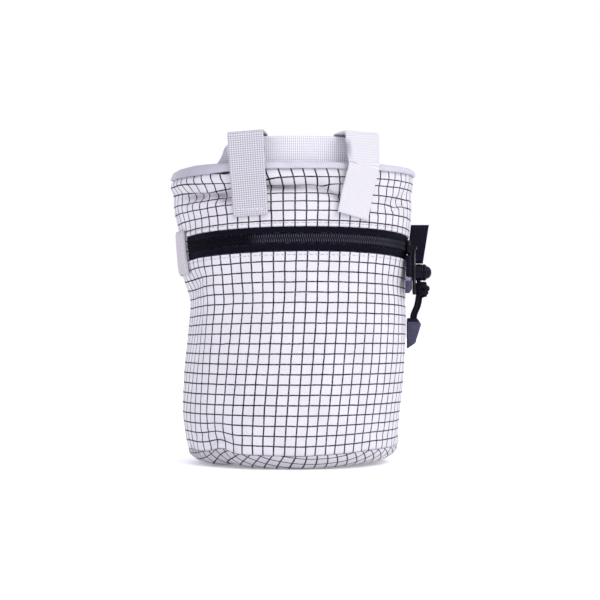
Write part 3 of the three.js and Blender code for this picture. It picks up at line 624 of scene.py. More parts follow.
def grid_cloth(name, phase_across=0.0, phase_up=0.0):
    f = Finish(name, (0.68, 0.665, 0.725), 0.8, 0.12)
    where, u, v = f.uv()
    wander = f.noise(where, 90, 2)
    wander = f.math("MULTIPLY_ADD", wander, 0.0007, -0.00035)
    u_line = f.math("ADD", u, wander)
    v_line = f.math("SUBTRACT", v, wander)
    thickness = f.noise(where, 700, 1)
    upright = f.lines(u_line, GRID_ACROSS, GRID_LINE * 0.92, 0.00012, phase_across)
    level = f.lines(v_line, GRID_UP, GRID_LINE * 0.86, 0.00012, phase_up)
    line = f.math("MAXIMUM", upright, level)
    line = f.math("MULTIPLY", line, f.ramp(thickness, 0.25, 0.6, 0.8, 1.0))
    rip_up = f.lines(u_line, GRID_ACROSS / 4, 0.00009, 0.00007, phase_across)
    rip_level = f.lines(v_line, GRID_UP / 4, 0.00009, 0.00007, phase_up)
    rip = f.math("MAXIMUM", rip_up, rip_level)
    warp = f.wave(u, 0.00042)
    weft = f.wave(v, 0.00042)
    weave = f.math("MULTIPLY", warp, weft)
    mottle = f.noise(where, 60, 3)
    white = f.mix(f.ramp(mottle, 0.35, 0.7), (0.62, 0.605, 0.65), (0.67, 0.66, 0.7))
    white = f.mix(f.math("MULTIPLY", rip, 0.16), white, (0.45, 0.43, 0.52))
    white = f.shaded(white, (0.16, 0.14, 0.18))
    colour = f.mix(line, white, INK)
    height = f.math("ADD", f.math("MULTIPLY", weave, 0.35), f.math("MULTIPLY", rip, 0.5))
    height = f.math("ADD", height, f.math("MULTIPLY", line, 0.4))
    rough = f.ramp(mottle, 0.3, 0.7, 0.72, 0.88)
    return f.done(Base_Color=colour, Roughness=rough, Normal=f.bump(height, 0.00012, 0.6))


def fleece(name, colour):
    f = Finish(name, colour, 0.95)
    where = f.place()
    tufts = f.noise(where, 900, 3, 0.7)
    drift = f.noise(where, 60, 2)
    dark = tuple(c * 0.72 for c in colour)
    shade = f.mix(f.ramp(tufts, 0.3, 0.7), dark, colour)
    shade = f.mix(f.ramp(drift, 0.35, 0.65, 0, 0.25), shade, tuple(c * 0.85 for c in colour))
    f.shader.inputs["Sheen Weight"].default_value = 0.4
    return f.done(Base_Color=shade, Normal=f.bump(tufts, 0.0005, 0.8))


def webbing(name, colour, groove, rib=0.0009, cord=0.0006, depth=0.00022, across_share=0.3, shine=0.15):
    """Webbing: ribs across its length, and the finer warp lines along it."""
    f = Finish(name, colour, 0.8, shine)
    where, u, v = f.uv()
    wander = f.math("MULTIPLY_ADD", f.noise(where, 260, 2), 0.0005, -0.00025)
    ribs = f.wave(f.math("ADD", v, wander), rib)
    warp = f.wave(f.math("ADD", u, wander), cord)
    fine = f.wave(u, cord / 3, 1.0)
    weave = f.math("ADD", f.math("MULTIPLY", ribs, 1 - across_share), f.math("MULTIPLY", warp, across_share))
    weave = f.math("MULTIPLY_ADD", fine, 0.15, weave)
    drift = f.noise(where, 120, 2)
    shade = f.mix(f.ramp(weave, 0.15, 0.75), groove, colour)
    shade = f.mix(f.ramp(drift, 0.35, 0.7, 0, 0.18), shade, tuple(c * 0.8 for c in colour))
    shade = f.shaded(shade, (0.2, 0.185, 0.26))
    return f.done(Base_Color=shade, Roughness=f.ramp(drift, 0.3, 0.7, 0.7, 0.9),
                  Normal=f.bump(weave, depth, 0.8))


def binding_cloth(name):
    # Its colour is darker than the wall's cloth, partly painted shade.
    f = Finish(name, (0.55, 0.535, 0.61), 0.85, 0.12)
    where, u, v = f.uv()
    slant = f.wave(f.math("ADD", u, v), 0.0006)
    drift = f.noise(where, 150, 3)
    shade = f.mix(f.ramp(slant, 0.1, 0.9), (0.48, 0.465, 0.55), (0.6, 0.585, 0.65))
    shade = f.mix(f.ramp(drift, 0.35, 0.7, 0, 0.3), shade, (0.66, 0.65, 0.7))
    shade = f.shaded(shade, (0.22, 0.2, 0.28))
    return f.done(Base_Color=shade, Normal=f.bump(slant, 0.00012, 0.6))


def zip_tape(name):
    f = Finish(name, (0.004, 0.004, 0.01), 0.75, 0.04)
    where, u, v = f.uv()
    rows = f.wave(f.math("ADD", v, f.math("MULTIPLY", f.wave(u, 0.0012), 0.0003)), 0.00055)
    drift = f.noise(where, 200, 2)
    shade = f.mix(f.ramp(rows, 0.2, 0.8), (0.001, 0.001, 0.004), (0.007, 0.007, 0.016))
    return f.done(Base_Color=shade, Roughness=f.ramp(drift, 0.3, 0.7, 0.6, 0.8),
                  Normal=f.bump(rows, 0.00015, 0.7))


def plastic(name, colour, roughness, grain=0.0, shine=0.3):
    f = Finish(name, colour, roughness, shine)
    where = f.place()
    drift = f.noise(where, 300, 3)
    dark, pale = (tuple(c * share for c in colour) for share in (0.8, 1.25))
    shade = f.mix(f.ramp(drift, 0.3, 0.75), dark, pale)
    fine = f.noise(where, 6000, 2)
    rough = f.ramp(drift, 0.3, 0.7, roughness * 0.85, min(roughness * 1.2, 1))
    return f.done(Base_Color=shade, Roughness=rough, Normal=f.bump(fine, 0.00004 + grain, 0.35))


def coil_plastic(name):
    """Black plastic, its ridges painted paler where the point attribute says so: a painted highlight."""
    f = Finish(name, (0.003, 0.003, 0.007), 0.4, 0.08)
    painted_highlight = f.node("ShaderNodeAttribute", attribute_name="painted_highlight").outputs["Fac"]
    fine = f.noise(f.place(), 1500, 2)
    painted_highlight = f.math("MULTIPLY", painted_highlight, f.ramp(fine, 0.3, 0.7, 0.4, 1.0))
    return f.done(Base_Color=f.mix(painted_highlight, (0.002, 0.002, 0.006), (0.11, 0.11, 0.15)),
                  Normal=f.bump(fine, 0.00004, 0.35))


def coated_metal(name, colour, shine, bare):
    """Metal with a dark coating, scratched through here and there."""
    f = Finish(name, colour, 0.34, shine)
    scratches = f.noise(f.place(), 900, 4, 0.7)
    worn = f.ramp(scratches, 0.62, 0.75, 0, 0.3)
    return f.done(Base_Color=f.mix(worn, colour, bare), Roughness=f.ramp(scratches, 0.3, 0.7, 0.3, 0.5),
                  Normal=f.bump(scratches, 0.00003, 0.4))


def braided_cord(name, colour):
    f = Finish(name, colour, 0.75, 0.08)
    _, u, v = f.uv()
    one = f.wave(f.math("ADD", f.math("MULTIPLY", u, 2.0), v), 0.0012)
    two = f.wave(f.math("SUBTRACT", f.math("MULTIPLY", u, 2.0), v), 0.0012)
    braid = f.math("MAXIMUM", one, two)
    shade = f.mix(f.ramp(braid, 0.5, 1.0), tuple(c * 0.3 for c in colour), colour)
    return f.done(Base_Color=shade, Normal=f.bump(braid, 0.0002, 0.9))


def thread(name, colour):
    f = Finish(name, colour, 0.6, 0.1)
    where = f.place()
    ply = f.noise(where, 2500, 2)
    shade = f.mix(f.ramp(ply, 0.3, 0.7), tuple(c * 0.8 for c in colour), colour)
    return f.done(Base_Color=shade, Normal=f.bump(ply, 0.0001, 0.5))


GRID_CLOTH = grid_cloth("grid_cloth", 0.0, 0.0)
BASE_CLOTH = grid_cloth("base_grid_cloth", 0.3, 0.2)
LINING = fleece("lining_fleece", (0.6, 0.585, 0.64))
BINDING = binding_cloth("binding_cloth")
WHITE_WEBBING = webbing("white_webbing", (0.6, 0.585, 0.64), (0.24, 0.225, 0.28), rib=0.0012, cord=0.0013,
                        across_share=0.45)
SMOOTH_WEBBING = webbing("smooth_white_webbing", (0.66, 0.65, 0.69), (0.5, 0.49, 0.54), depth=0.0001)
# The brush loop's webbing is darker than the other white webbing: painted shade, as the loop sits on the
# shaded left side.
SHADED_BRUSH_WEBBING = webbing("brush_loop_webbing_painted_shade", (0.52, 0.495, 0.53), (0.46, 0.435, 0.47), depth=0.0001)
BELT_WEBBING = webbing("belt_webbing", (0.76, 0.75, 0.8), (0.38, 0.365, 0.45), rib=0.00114, cord=0.00145,
                       depth=0.0001, across_share=0.35)
BLACK_WEBBING = webbing("black_webbing", (0.01, 0.009, 0.02), (0.003, 0.003, 0.008), rib=0.0011, depth=0.0002,
                        shine=0.06)
ZIP_TAPE = zip_tape("zip_tape")
ZIP_COIL = coil_plastic("zip_coil")
DARK_METAL = coated_metal("dark_metal", (0.006, 0.006, 0.011), 0.08, (0.06, 0.06, 0.08))
# A paler copy of the dark metal for the puller's edge: a painted highlight.
HIGHLIGHT_METAL = coated_metal("metal_painted_highlight", (0.3, 0.29, 0.34), 0.5, (0.5, 0.49, 0.54))
SLATE_PLASTIC = plastic("slate_plastic", (0.052, 0.049, 0.088), 0.5, 0.00003, shine=0.15)
# A paler copy of the slate plastic for the top of the grip: a painted highlight.
SLATE_HIGHLIGHT = plastic("slate_plastic_painted_highlight", (0.2, 0.19, 0.31), 0.45, 0.00003, shine=0.2)
BLACK_PLASTIC = plastic("black_plastic", (0.005, 0.005, 0.012), 0.2, shine=0.09)
CORD_BRAID = braided_cord("black_cord", (0.009, 0.009, 0.017))
WHITE_THREAD = thread("white_thread", (0.74, 0.73, 0.79))
# Thread painted grey for the zip's white topstitches, for the small shadows they cast and sit in: painted
# shade.
SHADE_GREY_THREAD = thread("grey_thread_painted_shade", (0.4, 0.39, 0.46))
BLACK_THREAD = thread("black_thread", (0.012, 0.012, 0.024))

# Places of the right side's fittings.


def side_x(z):
    return float(cloth_point_at(90.0, z)[0])


TAB_BOTTOM = TAB_TOP - TAB_HEIGHT
LOCK_Z = TAB_BOTTOM - PIECE_GAP - LOCK_DIAMETER / 2
LOCK_START = side_x(LOCK_Z) + LOCK_STANDOFF
LOCK_END = LOCK_START + LOCK_LENGTH
STRAND_X = LOCK_START + LOCK_LENGTH * STRAND_SHARE
STRAND_Y = (CORD_DIAMETER + PIECE_GAP) / 2
KNOT_TOP = LOCK_Z - LOCK_DIAMETER / 2 - PIECE_GAP
KNOT_X = STRAND_X + KNOT_SHIFT
KNOT_Z = KNOT_TOP - KNOT_HEIGHT / 2
END_TOP = KNOT_TOP - KNOT_HEIGHT - END_DROP
END_X = side_x(END_TOP - END_HEIGHT / 2) + END_STANDOFF
MOUTH_X = END_X + END_WIDTH * MOUTH_SHARE

# The draw cord.


def draw_cord_strand(name, side, nodes):
    """One strand, from the tab through the lock and the knot into the end piece."""
    knot_low = KNOT_Z - KNOT_HEIGHT / 2 - PIECE_GAP
    route = [
        (STRAND_X, side * STRAND_Y, TAB_BOTTOM - PIECE_GAP),
        (STRAND_X, side * STRAND_Y, LOCK_Z),
        (STRAND_X, side * STRAND_Y, KNOT_TOP),
        (KNOT_X - 0.2 + side * 0.3, side * 1.1, KNOT_Z + 1),
        (KNOT_X - 0.4 + side * 0.7, side, KNOT_Z - 2.4),
        (KNOT_X - 0.5 + side * STRAND_SPREAD, side * STRAND_SPREAD, knot_low),
        (KNOT_X - 1.4 + side * STRAND_SPREAD, side * STRAND_SPREAD, knot_low - 4.5),
        (MOUTH_X + 0.35 + side * STRAND_SPREAD, side * STRAND_SPREAD, knot_low - 9.5),
        (MOUTH_X + side * STRAND_SPREAD, side * STRAND_SPREAD, END_TOP - STRAND_SINK),
    ]
    line = smooth_line(route, 60)
    length = float(np.linalg.norm(np.diff(line, axis=0), axis=1).sum())
    strand = tube(line, CORD_DIAMETER / 2, 16)
    finish_piece(strand, name, [CORD_BRAID], nodes=nodes)
    return strand, line, length


front_strand = draw_cord_strand("draw_cord_front", -1, ["cord_upper_front", "cord_lower_left"])
back_strand = draw_cord_strand("draw_cord_back", 1, ["cord_upper_back", "cord_lower_right"])

# The wall of the bag.

# How far the grid's upright lines have moved to the right, at true heights on the front.
GRID_LEAN = np.array([(7.0, -4.9), (22.0, -3.8), (74.6, 0.0), (93.0, 1.1), (120.0, 1.9), (120.1, 0.9),
                      (157.7, 1.1)])
# The same above the front tuck, where the gathered cloth lies slanting: angle and shift at the rim.
TUCK_SHEAR = np.array([(-100, -1.0), (-70, -3.4), (-20, -3.2), (5, -2.2), (22, -1.4), (40, 1.0), (70, 1.6),
                       (110, 0)])
# True heights on the front of some of the grid's level lines, and which line each of them is.
GRID_LEVELS = np.array([(7.4, 0), (120.1, 20), (136.9, 23), (142.4, 24), (147.5, 25), (151.9, 26),
                        (157.4, 27), (161.0, 28), (167.0, 29)])
FIRST_UPRIGHT = 0.9
# How far the rows sink near the rim, in millimetres: angle, in the gathers, at the top row.
GRID_SAG = np.array([(-110, 0, 0), (-95, 2.2, 1.0), (-58, 2.8, 1.5), (-45, 2.4, 2.5), (-30, 1.4, 3.7),
                     (-15, 0.6, 2.0), (-5, 0.1, 0.5), (5, 0, 0)])
# How far the soft rim sinks at the left, and round which angle.
RIM_SINK = 1.7
RIM_SINK_ANGLE = -84.0
# Angle, and how far the base's edge is lifted off the floor there.
BASE_LIFT = np.array([(-180, 0.4), (-110, 0.6), (-70, 1.3), (-30, 0.6), (5, 0.0), (25, 0.8), (45, 2.3),
                      (80, 2.9), (115, 1.6), (150, 0.6), (180, 0.4)])


def front_height(height):
    """The true height on the front of a height along the cloth."""
    return height + lift(0.0, height)


def grid_shift(angle, height):
    z = front_height(height)
    lean = np.interp(z, *GRID_LEAN.T)
    shear = np.interp(angle, *TUCK_SHEAR.T) * np.clip((z - 157.7) / (165.5 - 157.7), 0, 1.2)
    return lean + shear


def grid_level(angle, height):
    """The distance up the cloth, where each level line is a whole number of GRID_UP."""
    z = front_height(height)
    gathers, top = (np.interp(angle, GRID_SAG[:, 0], GRID_SAG[:, k]) for k in (1, 2))
    share = smooth_step((z - 152) / 9)
    z = z + (gathers * (1 - share) + top * share) * smooth_step((z - 128) / 26)
    return np.interp(z, *GRID_LEVELS.T) * GRID_UP / MM + np.minimum(z - GRID_LEVELS[0, 0], 0)


def seam_pucker(angle):
    """Small gathers along the base seam, from -1 to 1."""
    a = np.radians(angle)
    return (0.5 * np.sin(23 * a + 1.3 * np.sin(3 * a)) + 0.3 * np.sin(41 * a + 2 * np.cos(2 * a))
            + 0.2 * np.sin(13 * a + 0.7))


def cloth_ripple(angle, height):
    """A very soft unevenness of the cloth in millimetres."""
    a = np.radians(angle)
    h = height / CLOTH_HEIGHT
    ripple = (0.16 * np.sin(9 * a + 7 * h + 1.1) * np.sin(11 * h + 2 * a)
              + 0.1 * np.sin(17 * a - 13 * h) * np.cos(23 * h - 3 * a)
              + 0.05 * np.sin(31 * a + 19 * h + 2) * np.sin(37 * h + 5 * a))
    gather = smooth_step((h - 0.82) / 0.16)
    return ripple + gather * 0.22 * np.sin(27 * a + 5 * np.sin(9 * h)) * np.cos(29 * h + 4 * a)


def lopsided(angle, height):
    """How far the soft rim has sunk at the left, and the base's edge is lifted at the right, at a height."""
    rim = -RIM_SINK * np.exp(-((angle - RIM_SINK_ANGLE) / 24) ** 2) * smooth_step((height - 150) / 16)
    seam = np.interp(angle, *BASE_LIFT.T) + 2.6 * np.exp(-((angle + 40) / 8) ** 2)
    return rim + seam * (1 - smooth_step((height - SEAM_HEIGHT) / 26))


def wall_outside(angle, height, out=0.0):
    """The finished outer face of the wall, with its creases, gathers and ripples."""
    angle, height, out = np.broadcast_arrays(*(np.asarray(v, float) for v in (angle, height, out)))
    low = np.exp(-((height - SEAM_HEIGHT) / 4.5) ** 2)
    near_zip = np.exp(-((height - ZIP_HEIGHT) / 9.0) ** 4)
    calm = 1 - near_zip
    move = cloth_ripple(angle, height) * calm - press(CREASES, angle, height) * calm
    move = move + 0.55 * low * seam_pucker(angle)
    point = cloth_point(angle, height, out + move)
    hanging = swell(OVERHANGS, angle, height) * smooth_step((CLOTH_HEIGHT - height) / 5)
    point[..., 2] += lopsided(angle, height) - hanging
    return point


def make_wall():
    angles = np.arange(-180, 180, 1.0)
    ends = []
    for end, way in ((ZIP_START, -1), (ZIP_END, 1)):
        ends += [end + way * d for d in (0.7, 0.45, 0.2, 0.0)]
    angles = np.sort(np.concatenate([[a for a in angles if min(abs(a - e) for e in ends) > 0.55], ends]))
    bottom, top = ZIP_HEIGHT - ZIP_OPENING / 2, ZIP_HEIGHT + ZIP_OPENING / 2
    # Height from the zip's edge, and how far the folded edge of the cloth stands out or goes in.
    edge = np.array([(-3.2, 0.0), (-2.4, 0.06), (-2.0, -0.1), (-1.6, 0.1), (-0.9, 0.22), (-0.35, 0.12),
                     (-0.1, -0.15), (0.0, -0.6), (0.05, -ZIP_RECESS)])
    low = np.linspace(SEAM_HEIGHT, bottom - 4.0, 72)
    high = np.linspace(top + 4.0, CLOTH_HEIGHT, 48)
    heights = np.concatenate([low, bottom + edge[:, 0], top - edge[::-1, 0], high])
    recess = np.concatenate([np.zeros(len(low)), edge[:, 1], edge[::-1, 1], np.zeros(len(high))])
    inner = np.linspace(CLOTH_HEIGHT, SEAM_HEIGHT, 34)
    window = smooth_step((angles - ZIP_START + 0.7) / 0.7) * smooth_step((ZIP_END + 0.7 - angles) / 0.7)
    outer_grid = wall_outside(angles[:, None], heights[None, :], window[:, None] * recess[None, :])
    inner_grid = cloth_point(angles[:, None], inner[None, :], -CLOTH_THICKNESS)
    inner_grid[..., 2] += lopsided(angles[:, None], inner[None, :])
    grid = np.concatenate([outer_grid, inner_grid], axis=1)
    rows_u = np.interp(np.append(angles, angles[0] + 360), ROUND_ANGLES, GRID_LENGTHS)
    rows_u[-1] = rows_u[0] + GRID_LENGTHS[-1] - GRID_LENGTHS[0]
    levels = np.concatenate([heights, inner, heights[:1]])
    around = np.append(angles, angles[0] + 360)
    u = rows_u[:, None] - grid_shift(around[:, None], levels[None, :]) - FIRST_UPRIGHT
    v = grid_level(around[:, None], levels[None, :])
    outer_count = len(heights)
    wall = loft(grid, u, v, around=True, along=True,
                second_material=lambda i, j: j >= outer_count)
    outer_shade = swell(SHADED_FOLDS, angles[:, None], heights[None, :])
    set_fold_shade(wall, np.concatenate([outer_shade, np.zeros((len(angles), len(inner)))], axis=1))
    finish_piece(wall, "bag_wall", [GRID_CLOTH, LINING], nodes=["shell"])


make_wall()


def make_base():
    """The round floor: flat underneath, its edge turned up to the seam and gathered along it."""
    angles = np.arange(-180, 180, 2.0)
    top = SEAM_HEIGHT - PIECE_GAP
    raised = lopsided(angles, SEAM_HEIGHT)[:, None]
    edge = cloth_point(angles, SEAM_HEIGHT)
    pucker = seam_pucker(angles)
    reach_rows = [0.02, 0.15, 0.3, 0.45, 0.6, 0.7]
    rows, distances = [], []
    for share in reach_rows:
        sag = 0.25 * (1 - share) + 0.12 * np.sin(5 * np.radians(angles) + 9 * share)
        sag = np.maximum(sag, 0.0) + raised[:, 0] * 0.55 * smooth_step((share - 0.3) / 0.48)
        rows.append(np.stack([edge[:, 0] * share, edge[:, 1] * share, sag], axis=1))
        distances.append(share * HALF_WIDTH)
    for rise in (0.0, 0.03, 0.1, 0.2, 0.34, 0.5, 0.68, 0.84, 0.95, 1.0):
        reach = BASE_FLAT_SHARE + (1 - BASE_FLAT_SHARE) * math.sqrt(1 - (1 - rise) ** 2)
        gather = 0.45 * pucker * rise - 0.35 * math.exp(-((rise - 1) / 0.1) ** 2)
        scale = reach + gather[:, None] / HALF_WIDTH if np.ndim(gather) else reach
        height = rise * top + raised * (0.55 + 0.45 * rise)
        rows.append(np.concatenate([edge[:, :2] * scale, height], axis=1))
        distances.append((BASE_FLAT_SHARE + 0.22 * rise) * HALF_WIDTH)
    inner_edge = cloth_point(angles, SEAM_HEIGHT, -CLOTH_THICKNESS)
    for rise in (1.0, 0.6, 0.25, 0.0):
        reach = BASE_FLAT_SHARE + (1 - BASE_FLAT_SHARE) * math.sqrt(1 - (1 - rise) ** 2)
        height = CLOTH_THICKNESS + rise * (top - CLOTH_THICKNESS) + raised * (0.55 + 0.45 * rise)
        rows.append(np.concatenate([inner_edge[:, :2] * reach, height], axis=1))
        distances.append(reach * HALF_WIDTH)
    for share in (0.55, 0.3, 0.04):
        height = CLOTH_THICKNESS + raised[:, 0] * 0.55 * smooth_step((share - 0.3) / 0.48)
        rows.append(np.stack([edge[:, 0] * share, edge[:, 1] * share, height], axis=1))
        distances.append(share * HALF_WIDTH)
    grid = np.array(rows)
    turn = np.radians(np.append(angles, 180) - 14)
    reach = np.array(distances + [0])
    u = reach[:, None] * np.sin(turn)[None, :]
    v = -reach[:, None] * np.cos(turn)[None, :]
    lining_from = len(reach_rows) + 10
    base = loft(grid, u, v, around=True, second_material=lambda i, j: i >= lining_from)
    # The base's shown rows are painted darker, most at the left: painted shade.
    shade = np.interp(angles, [-120, -75, -20, 20, 60, 110], [0.2, 0.55, 0.45, 0.3, 0.12, 0.2])
    rows_shown = np.array([1.0] * lining_from + [0.0] * (len(rows) - lining_from))
    set_fold_shade(base, rows_shown[:, None] * shade[None, :])
    finish_piece(base, "base_panel_cloth", [BASE_CLOTH, LINING], nodes=["base_panel"])


make_base()

BINDING_OUTER = BINDING_SLACK + BINDING_THICKNESS
BINDING_INNER = -CLOTH_THICKNESS - BINDING_SLACK - BINDING_THICKNESS


def make_binding():
    """The rolled binding over the mouth's edge, a little uneven in its roll."""
    angles = np.arange(-180, 180, 1.5)
    turn = (angles - BINDING_SAG_ANGLE) / BINDING_SAG_WIDE
    low = CLOTH_HEIGHT - BINDING_DROP - BINDING_SAG * np.exp(-turn * turn)
    high = CLOTH_HEIGHT + BINDING_RISE
    middle = (BINDING_OUTER + BINDING_INNER) / 2
    reach = (BINDING_OUTER - BINDING_INNER) / 2
    foot = CLOTH_HEIGHT - 0.2
    inside = -CLOTH_THICKNESS - PIECE_GAP
    roll = [(middle + reach * math.cos(t), foot + (high - foot) * math.sin(t) ** 0.9)
            for t in np.linspace(0.0, math.pi, 15)]
    # Distance out, height, and 1 where the height is counted from the lower edge.
    section = [(PIECE_GAP, 0.0, 1), (BINDING_OUTER * 0.8, 0.15, 1), (BINDING_OUTER, 0.8, 1)]
    section += [(out, z, 0) for out, z in roll]
    section += [(BINDING_INNER, 0.8, 1), (BINDING_INNER * 0.97, 0.15, 1), (inside, 0.0, 1)]
    section += [(inside, CLOTH_HEIGHT + 0.1, 0), (PIECE_GAP, CLOTH_HEIGHT + 0.1, 0)]
    section = np.array(section)
    levels = section[None, :, 1] + section[None, :, 2] * low[:, None]
    a = np.radians(angles)[:, None]
    wobble = 0.12 * np.sin(21 * a + 2 * np.sin(5 * a)) + 0.08 * np.sin(47 * a)
    grid = cloth_point(angles[:, None], np.minimum(levels, CLOTH_HEIGHT), section[None, :, 0])
    grid[..., 2] = levels + wobble * 0.6 + lopsided(angles[:, None], np.full_like(levels, CLOTH_HEIGHT))
    outer = outwards(angles, CLOTH_HEIGHT)
    shown = (section[:, 0] > PIECE_GAP)[None, :]
    grid[..., 0] += outer[0][:, None] * wobble * shown
    grid[..., 1] += outer[1][:, None] * wobble * shown
    u = np.interp(np.append(angles, 180), ROUND_ANGLES, GRID_LENGTHS)[:, None]
    flat = np.stack([section[:, 0], levels[0]], axis=1)
    steps = np.concatenate([[0], np.cumsum(np.hypot(*np.diff(flat, axis=0).T)), [30]])
    binding = loft(grid, u, steps[None, :], around=True, along=True)
    # The binding is painted darker round its sagging left part: painted shade.
    shade = BINDING_SHADE * np.exp(-((angles - BINDING_SAG_ANGLE) / BINDING_SHADE_WIDE) ** 2)
    set_fold_shade(binding, np.repeat(shade, len(section)))
    finish_piece(binding, "rim_binding_roll", [BINDING], nodes=["rim_binding"])


make_binding()

# Stitches.

STITCH_LENGTH = 2.3
STITCH_PITCH = 3.1
ZIP_HEM = 2.1


def points_and_faces(obj):
    """What a small shape is made of. The object itself is removed."""
    points = np.array([tuple(v.co) for v in obj.data.vertices])
    faces = [tuple(p.vertices) for p in obj.data.polygons]
    bpy.data.objects.remove(obj, do_unlink=True)
    return points, faces


def bead(length, width, rise):
    """One stitch at the origin: its length along x, its rise along y, from a ball shaped in edit mode."""
    bpy.ops.object.select_all(action="DESELECT")
    bpy.ops.mesh.primitive_uv_sphere_add(segments=8, ring_count=6, radius=0.5, rotation=(0, math.pi / 2, 0))
    bpy.ops.object.transform_apply(location=False, rotation=True, scale=False)
    ball = bpy.context.object
    bpy.ops.object.mode_set(mode="EDIT")
    bpy.ops.mesh.select_all(action="SELECT")
    bpy.ops.transform.resize(value=(length, rise, width))
    bpy.ops.object.mode_set(mode="OBJECT")
    return points_and_faces(ball)


def copies(points, faces, places):
    """Many copies of one small shape in one mesh. places gives the points of each copy, in millimetres."""
    count = len(points)
    stacked = np.concatenate(places)
    repeated = [tuple(i + k * count for i in face) for k in range(len(places)) for face in faces]
    return mesh_object(stacked, repeated)


def stitches(name, corners, normals, material, length=STITCH_LENGTH, pitch=STITCH_PITCH, width=0.45,
             rise=0.36, sink=0.05):
    """A row of stitches along a line on a surface. normals point out of the surface."""
    corners, normals = np.asarray(corners, float), np.asarray(normals, float)
    steps = np.linalg.norm(np.diff(corners, axis=0), axis=1)
    distance = np.concatenate([[0], np.cumsum(steps)])
    count = max(1, int((distance[-1] - length) / pitch) + 1)
    start = (distance[-1] - (count - 1) * pitch) / 2
    points, faces = bead(length, width, rise)
    places = []

    def along(where, source=corners):
        return np.array([np.interp(where, distance, source[:, c]) for c in range(3)])

    for k in range(count):
        at = start + k * pitch
        middle = along(at)
        ahead = along(at + 0.4 * length) - along(at - 0.4 * length)
        ahead = ahead / np.linalg.norm(ahead)
        out = along(at, normals)
        out = out - ahead * np.dot(out, ahead)
        out = out / np.linalg.norm(out)
        wide = np.cross(ahead, out)
        shape = points[:, :1] * ahead + points[:, 1:2] * out + points[:, 2:3] * wide
        places.append(middle - out * sink + shape)
    row = copies(points, faces, places)
    face_outwards(row)
    finish_piece(row, name, [material])


def level_normals(angles, height):
    nx, ny = outwards(angles, height)
    return np.stack([nx, ny, np.zeros_like(nx)], axis=1)


def cloth_stitches(name, angles, height, material):
    """A row of stitches on the wall at a height along the cloth."""
    stitches(name, wall_outside(angles, height), level_normals(angles, height), material)


zip_angles = np.linspace(ZIP_START + 1, ZIP_END - 1, 200)
# The zip's topstitches are white thread; their grey here is painted shade.
cloth_stitches("stitches_under_zip", zip_angles, ZIP_HEIGHT - ZIP_OPENING / 2 - ZIP_HEM, SHADE_GREY_THREAD)
cloth_stitches("stitches_over_zip", zip_angles, ZIP_HEIGHT + ZIP_OPENING / 2 + ZIP_HEM, SHADE_GREY_THREAD)

# The zip.

RECESS_FLOOR = -ZIP_RECESS + PIECE_GAP
COIL_TOP = RECESS_FLOOR + COIL_THICKNESS


def along_zip(distance, up, out):
    """Points given by distance along the zip, height from its middle and distance off the cloth."""
    return cloth_point(angle_at(distance, ZIP_LENGTHS), ZIP_HEIGHT + up, out)


def zip_ends():
    """The distances along the zip where its tapes and coil start and end."""
    angles = (ZIP_START + ZIP_END_CLEARANCE, ZIP_END - ZIP_END_CLEARANCE)
    return [float(distance) for distance in np.interp(angles, ROUND_ANGLES, ZIP_LENGTHS)]


def zip_tape_piece(name, low, high, nodes):
    """One tape: a woven band with a thicker cord along the edge beside the coil."""
    start, end = zip_ends()
    distance = np.linspace(start, end, 150)
    levels = np.linspace(low, high, 9)
    inner_edge = low if abs(low) < abs(high) else high
    swell = 0.35 * np.exp(-((levels - inner_edge) / 0.7) ** 2)
    top = RECESS_FLOOR + TAPE_THICKNESS + swell
    ups = np.concatenate([levels, levels[::-1]])
    outs = np.concatenate([top, np.full(9, RECESS_FLOOR)])
    grid = along_zip(distance[:, None], ups[None, :], outs[None, :])
    u = np.concatenate([ups, ups[:1]])
    v = np.append(distance, distance[-1])
    tape = loft(grid, u, v, around=True)
    finish_piece(tape, name, [ZIP_TAPE], nodes=nodes)


TAPE_INNER = COIL_WIDTH / 2 + PIECE_GAP
TAPE_OUTER = ZIP_OPENING / 2 - PIECE_GAP
zip_tape_piece("zip_tape_upper_weave", TAPE_INNER, TAPE_OUTER, ["zip_tape_upper"])
zip_tape_piece("zip_tape_lower_weave", -TAPE_OUTER, -TAPE_INNER, ["zip_tape_lower"])

TOOTH_PITCH = 1.25
RIB_LENGTH = COIL_WIDTH / 2 + 0.35
# The teeth get their painted highlight from this angle on. Left of it the real tape folds over the teeth, and
# here they only stay dark.
TEETH_FROM = -22.0


def coil_tooth():
    """One turn of the coil seen from outside: a rounded rib with a thicker head, its length along z."""
    bpy.ops.object.select_all(action="DESELECT")
    bpy.ops.mesh.primitive_cylinder_add(vertices=8, radius=0.5, depth=1.0, end_fill_type="TRIFAN")
    rib = bpy.context.object
    bpy.ops.object.mode_set(mode="EDIT")
    bpy.ops.mesh.select_all(action="SELECT")
    bpy.ops.transform.resize(value=(0.82, 1.15, RIB_LENGTH))
    bpy.ops.mesh.subdivide(number_cuts=1)
    bpy.ops.object.mode_set(mode="OBJECT")
    points, faces = points_and_faces(rib)
    share = points[:, 2] / RIB_LENGTH + 0.5
    head = 1 + 0.28 * np.exp(-((share - 0.12) / 0.14) ** 2)
    points[:, 0] *= head
    points[:, 1] = points[:, 1] * (0.75 + 0.25 * np.sin(math.pi * np.clip(share, 0, 1)))
    points[:, 2] += COIL_WIDTH / 4
    points[:, 0] += 0.28 * (share - 0.5)
    return points, faces


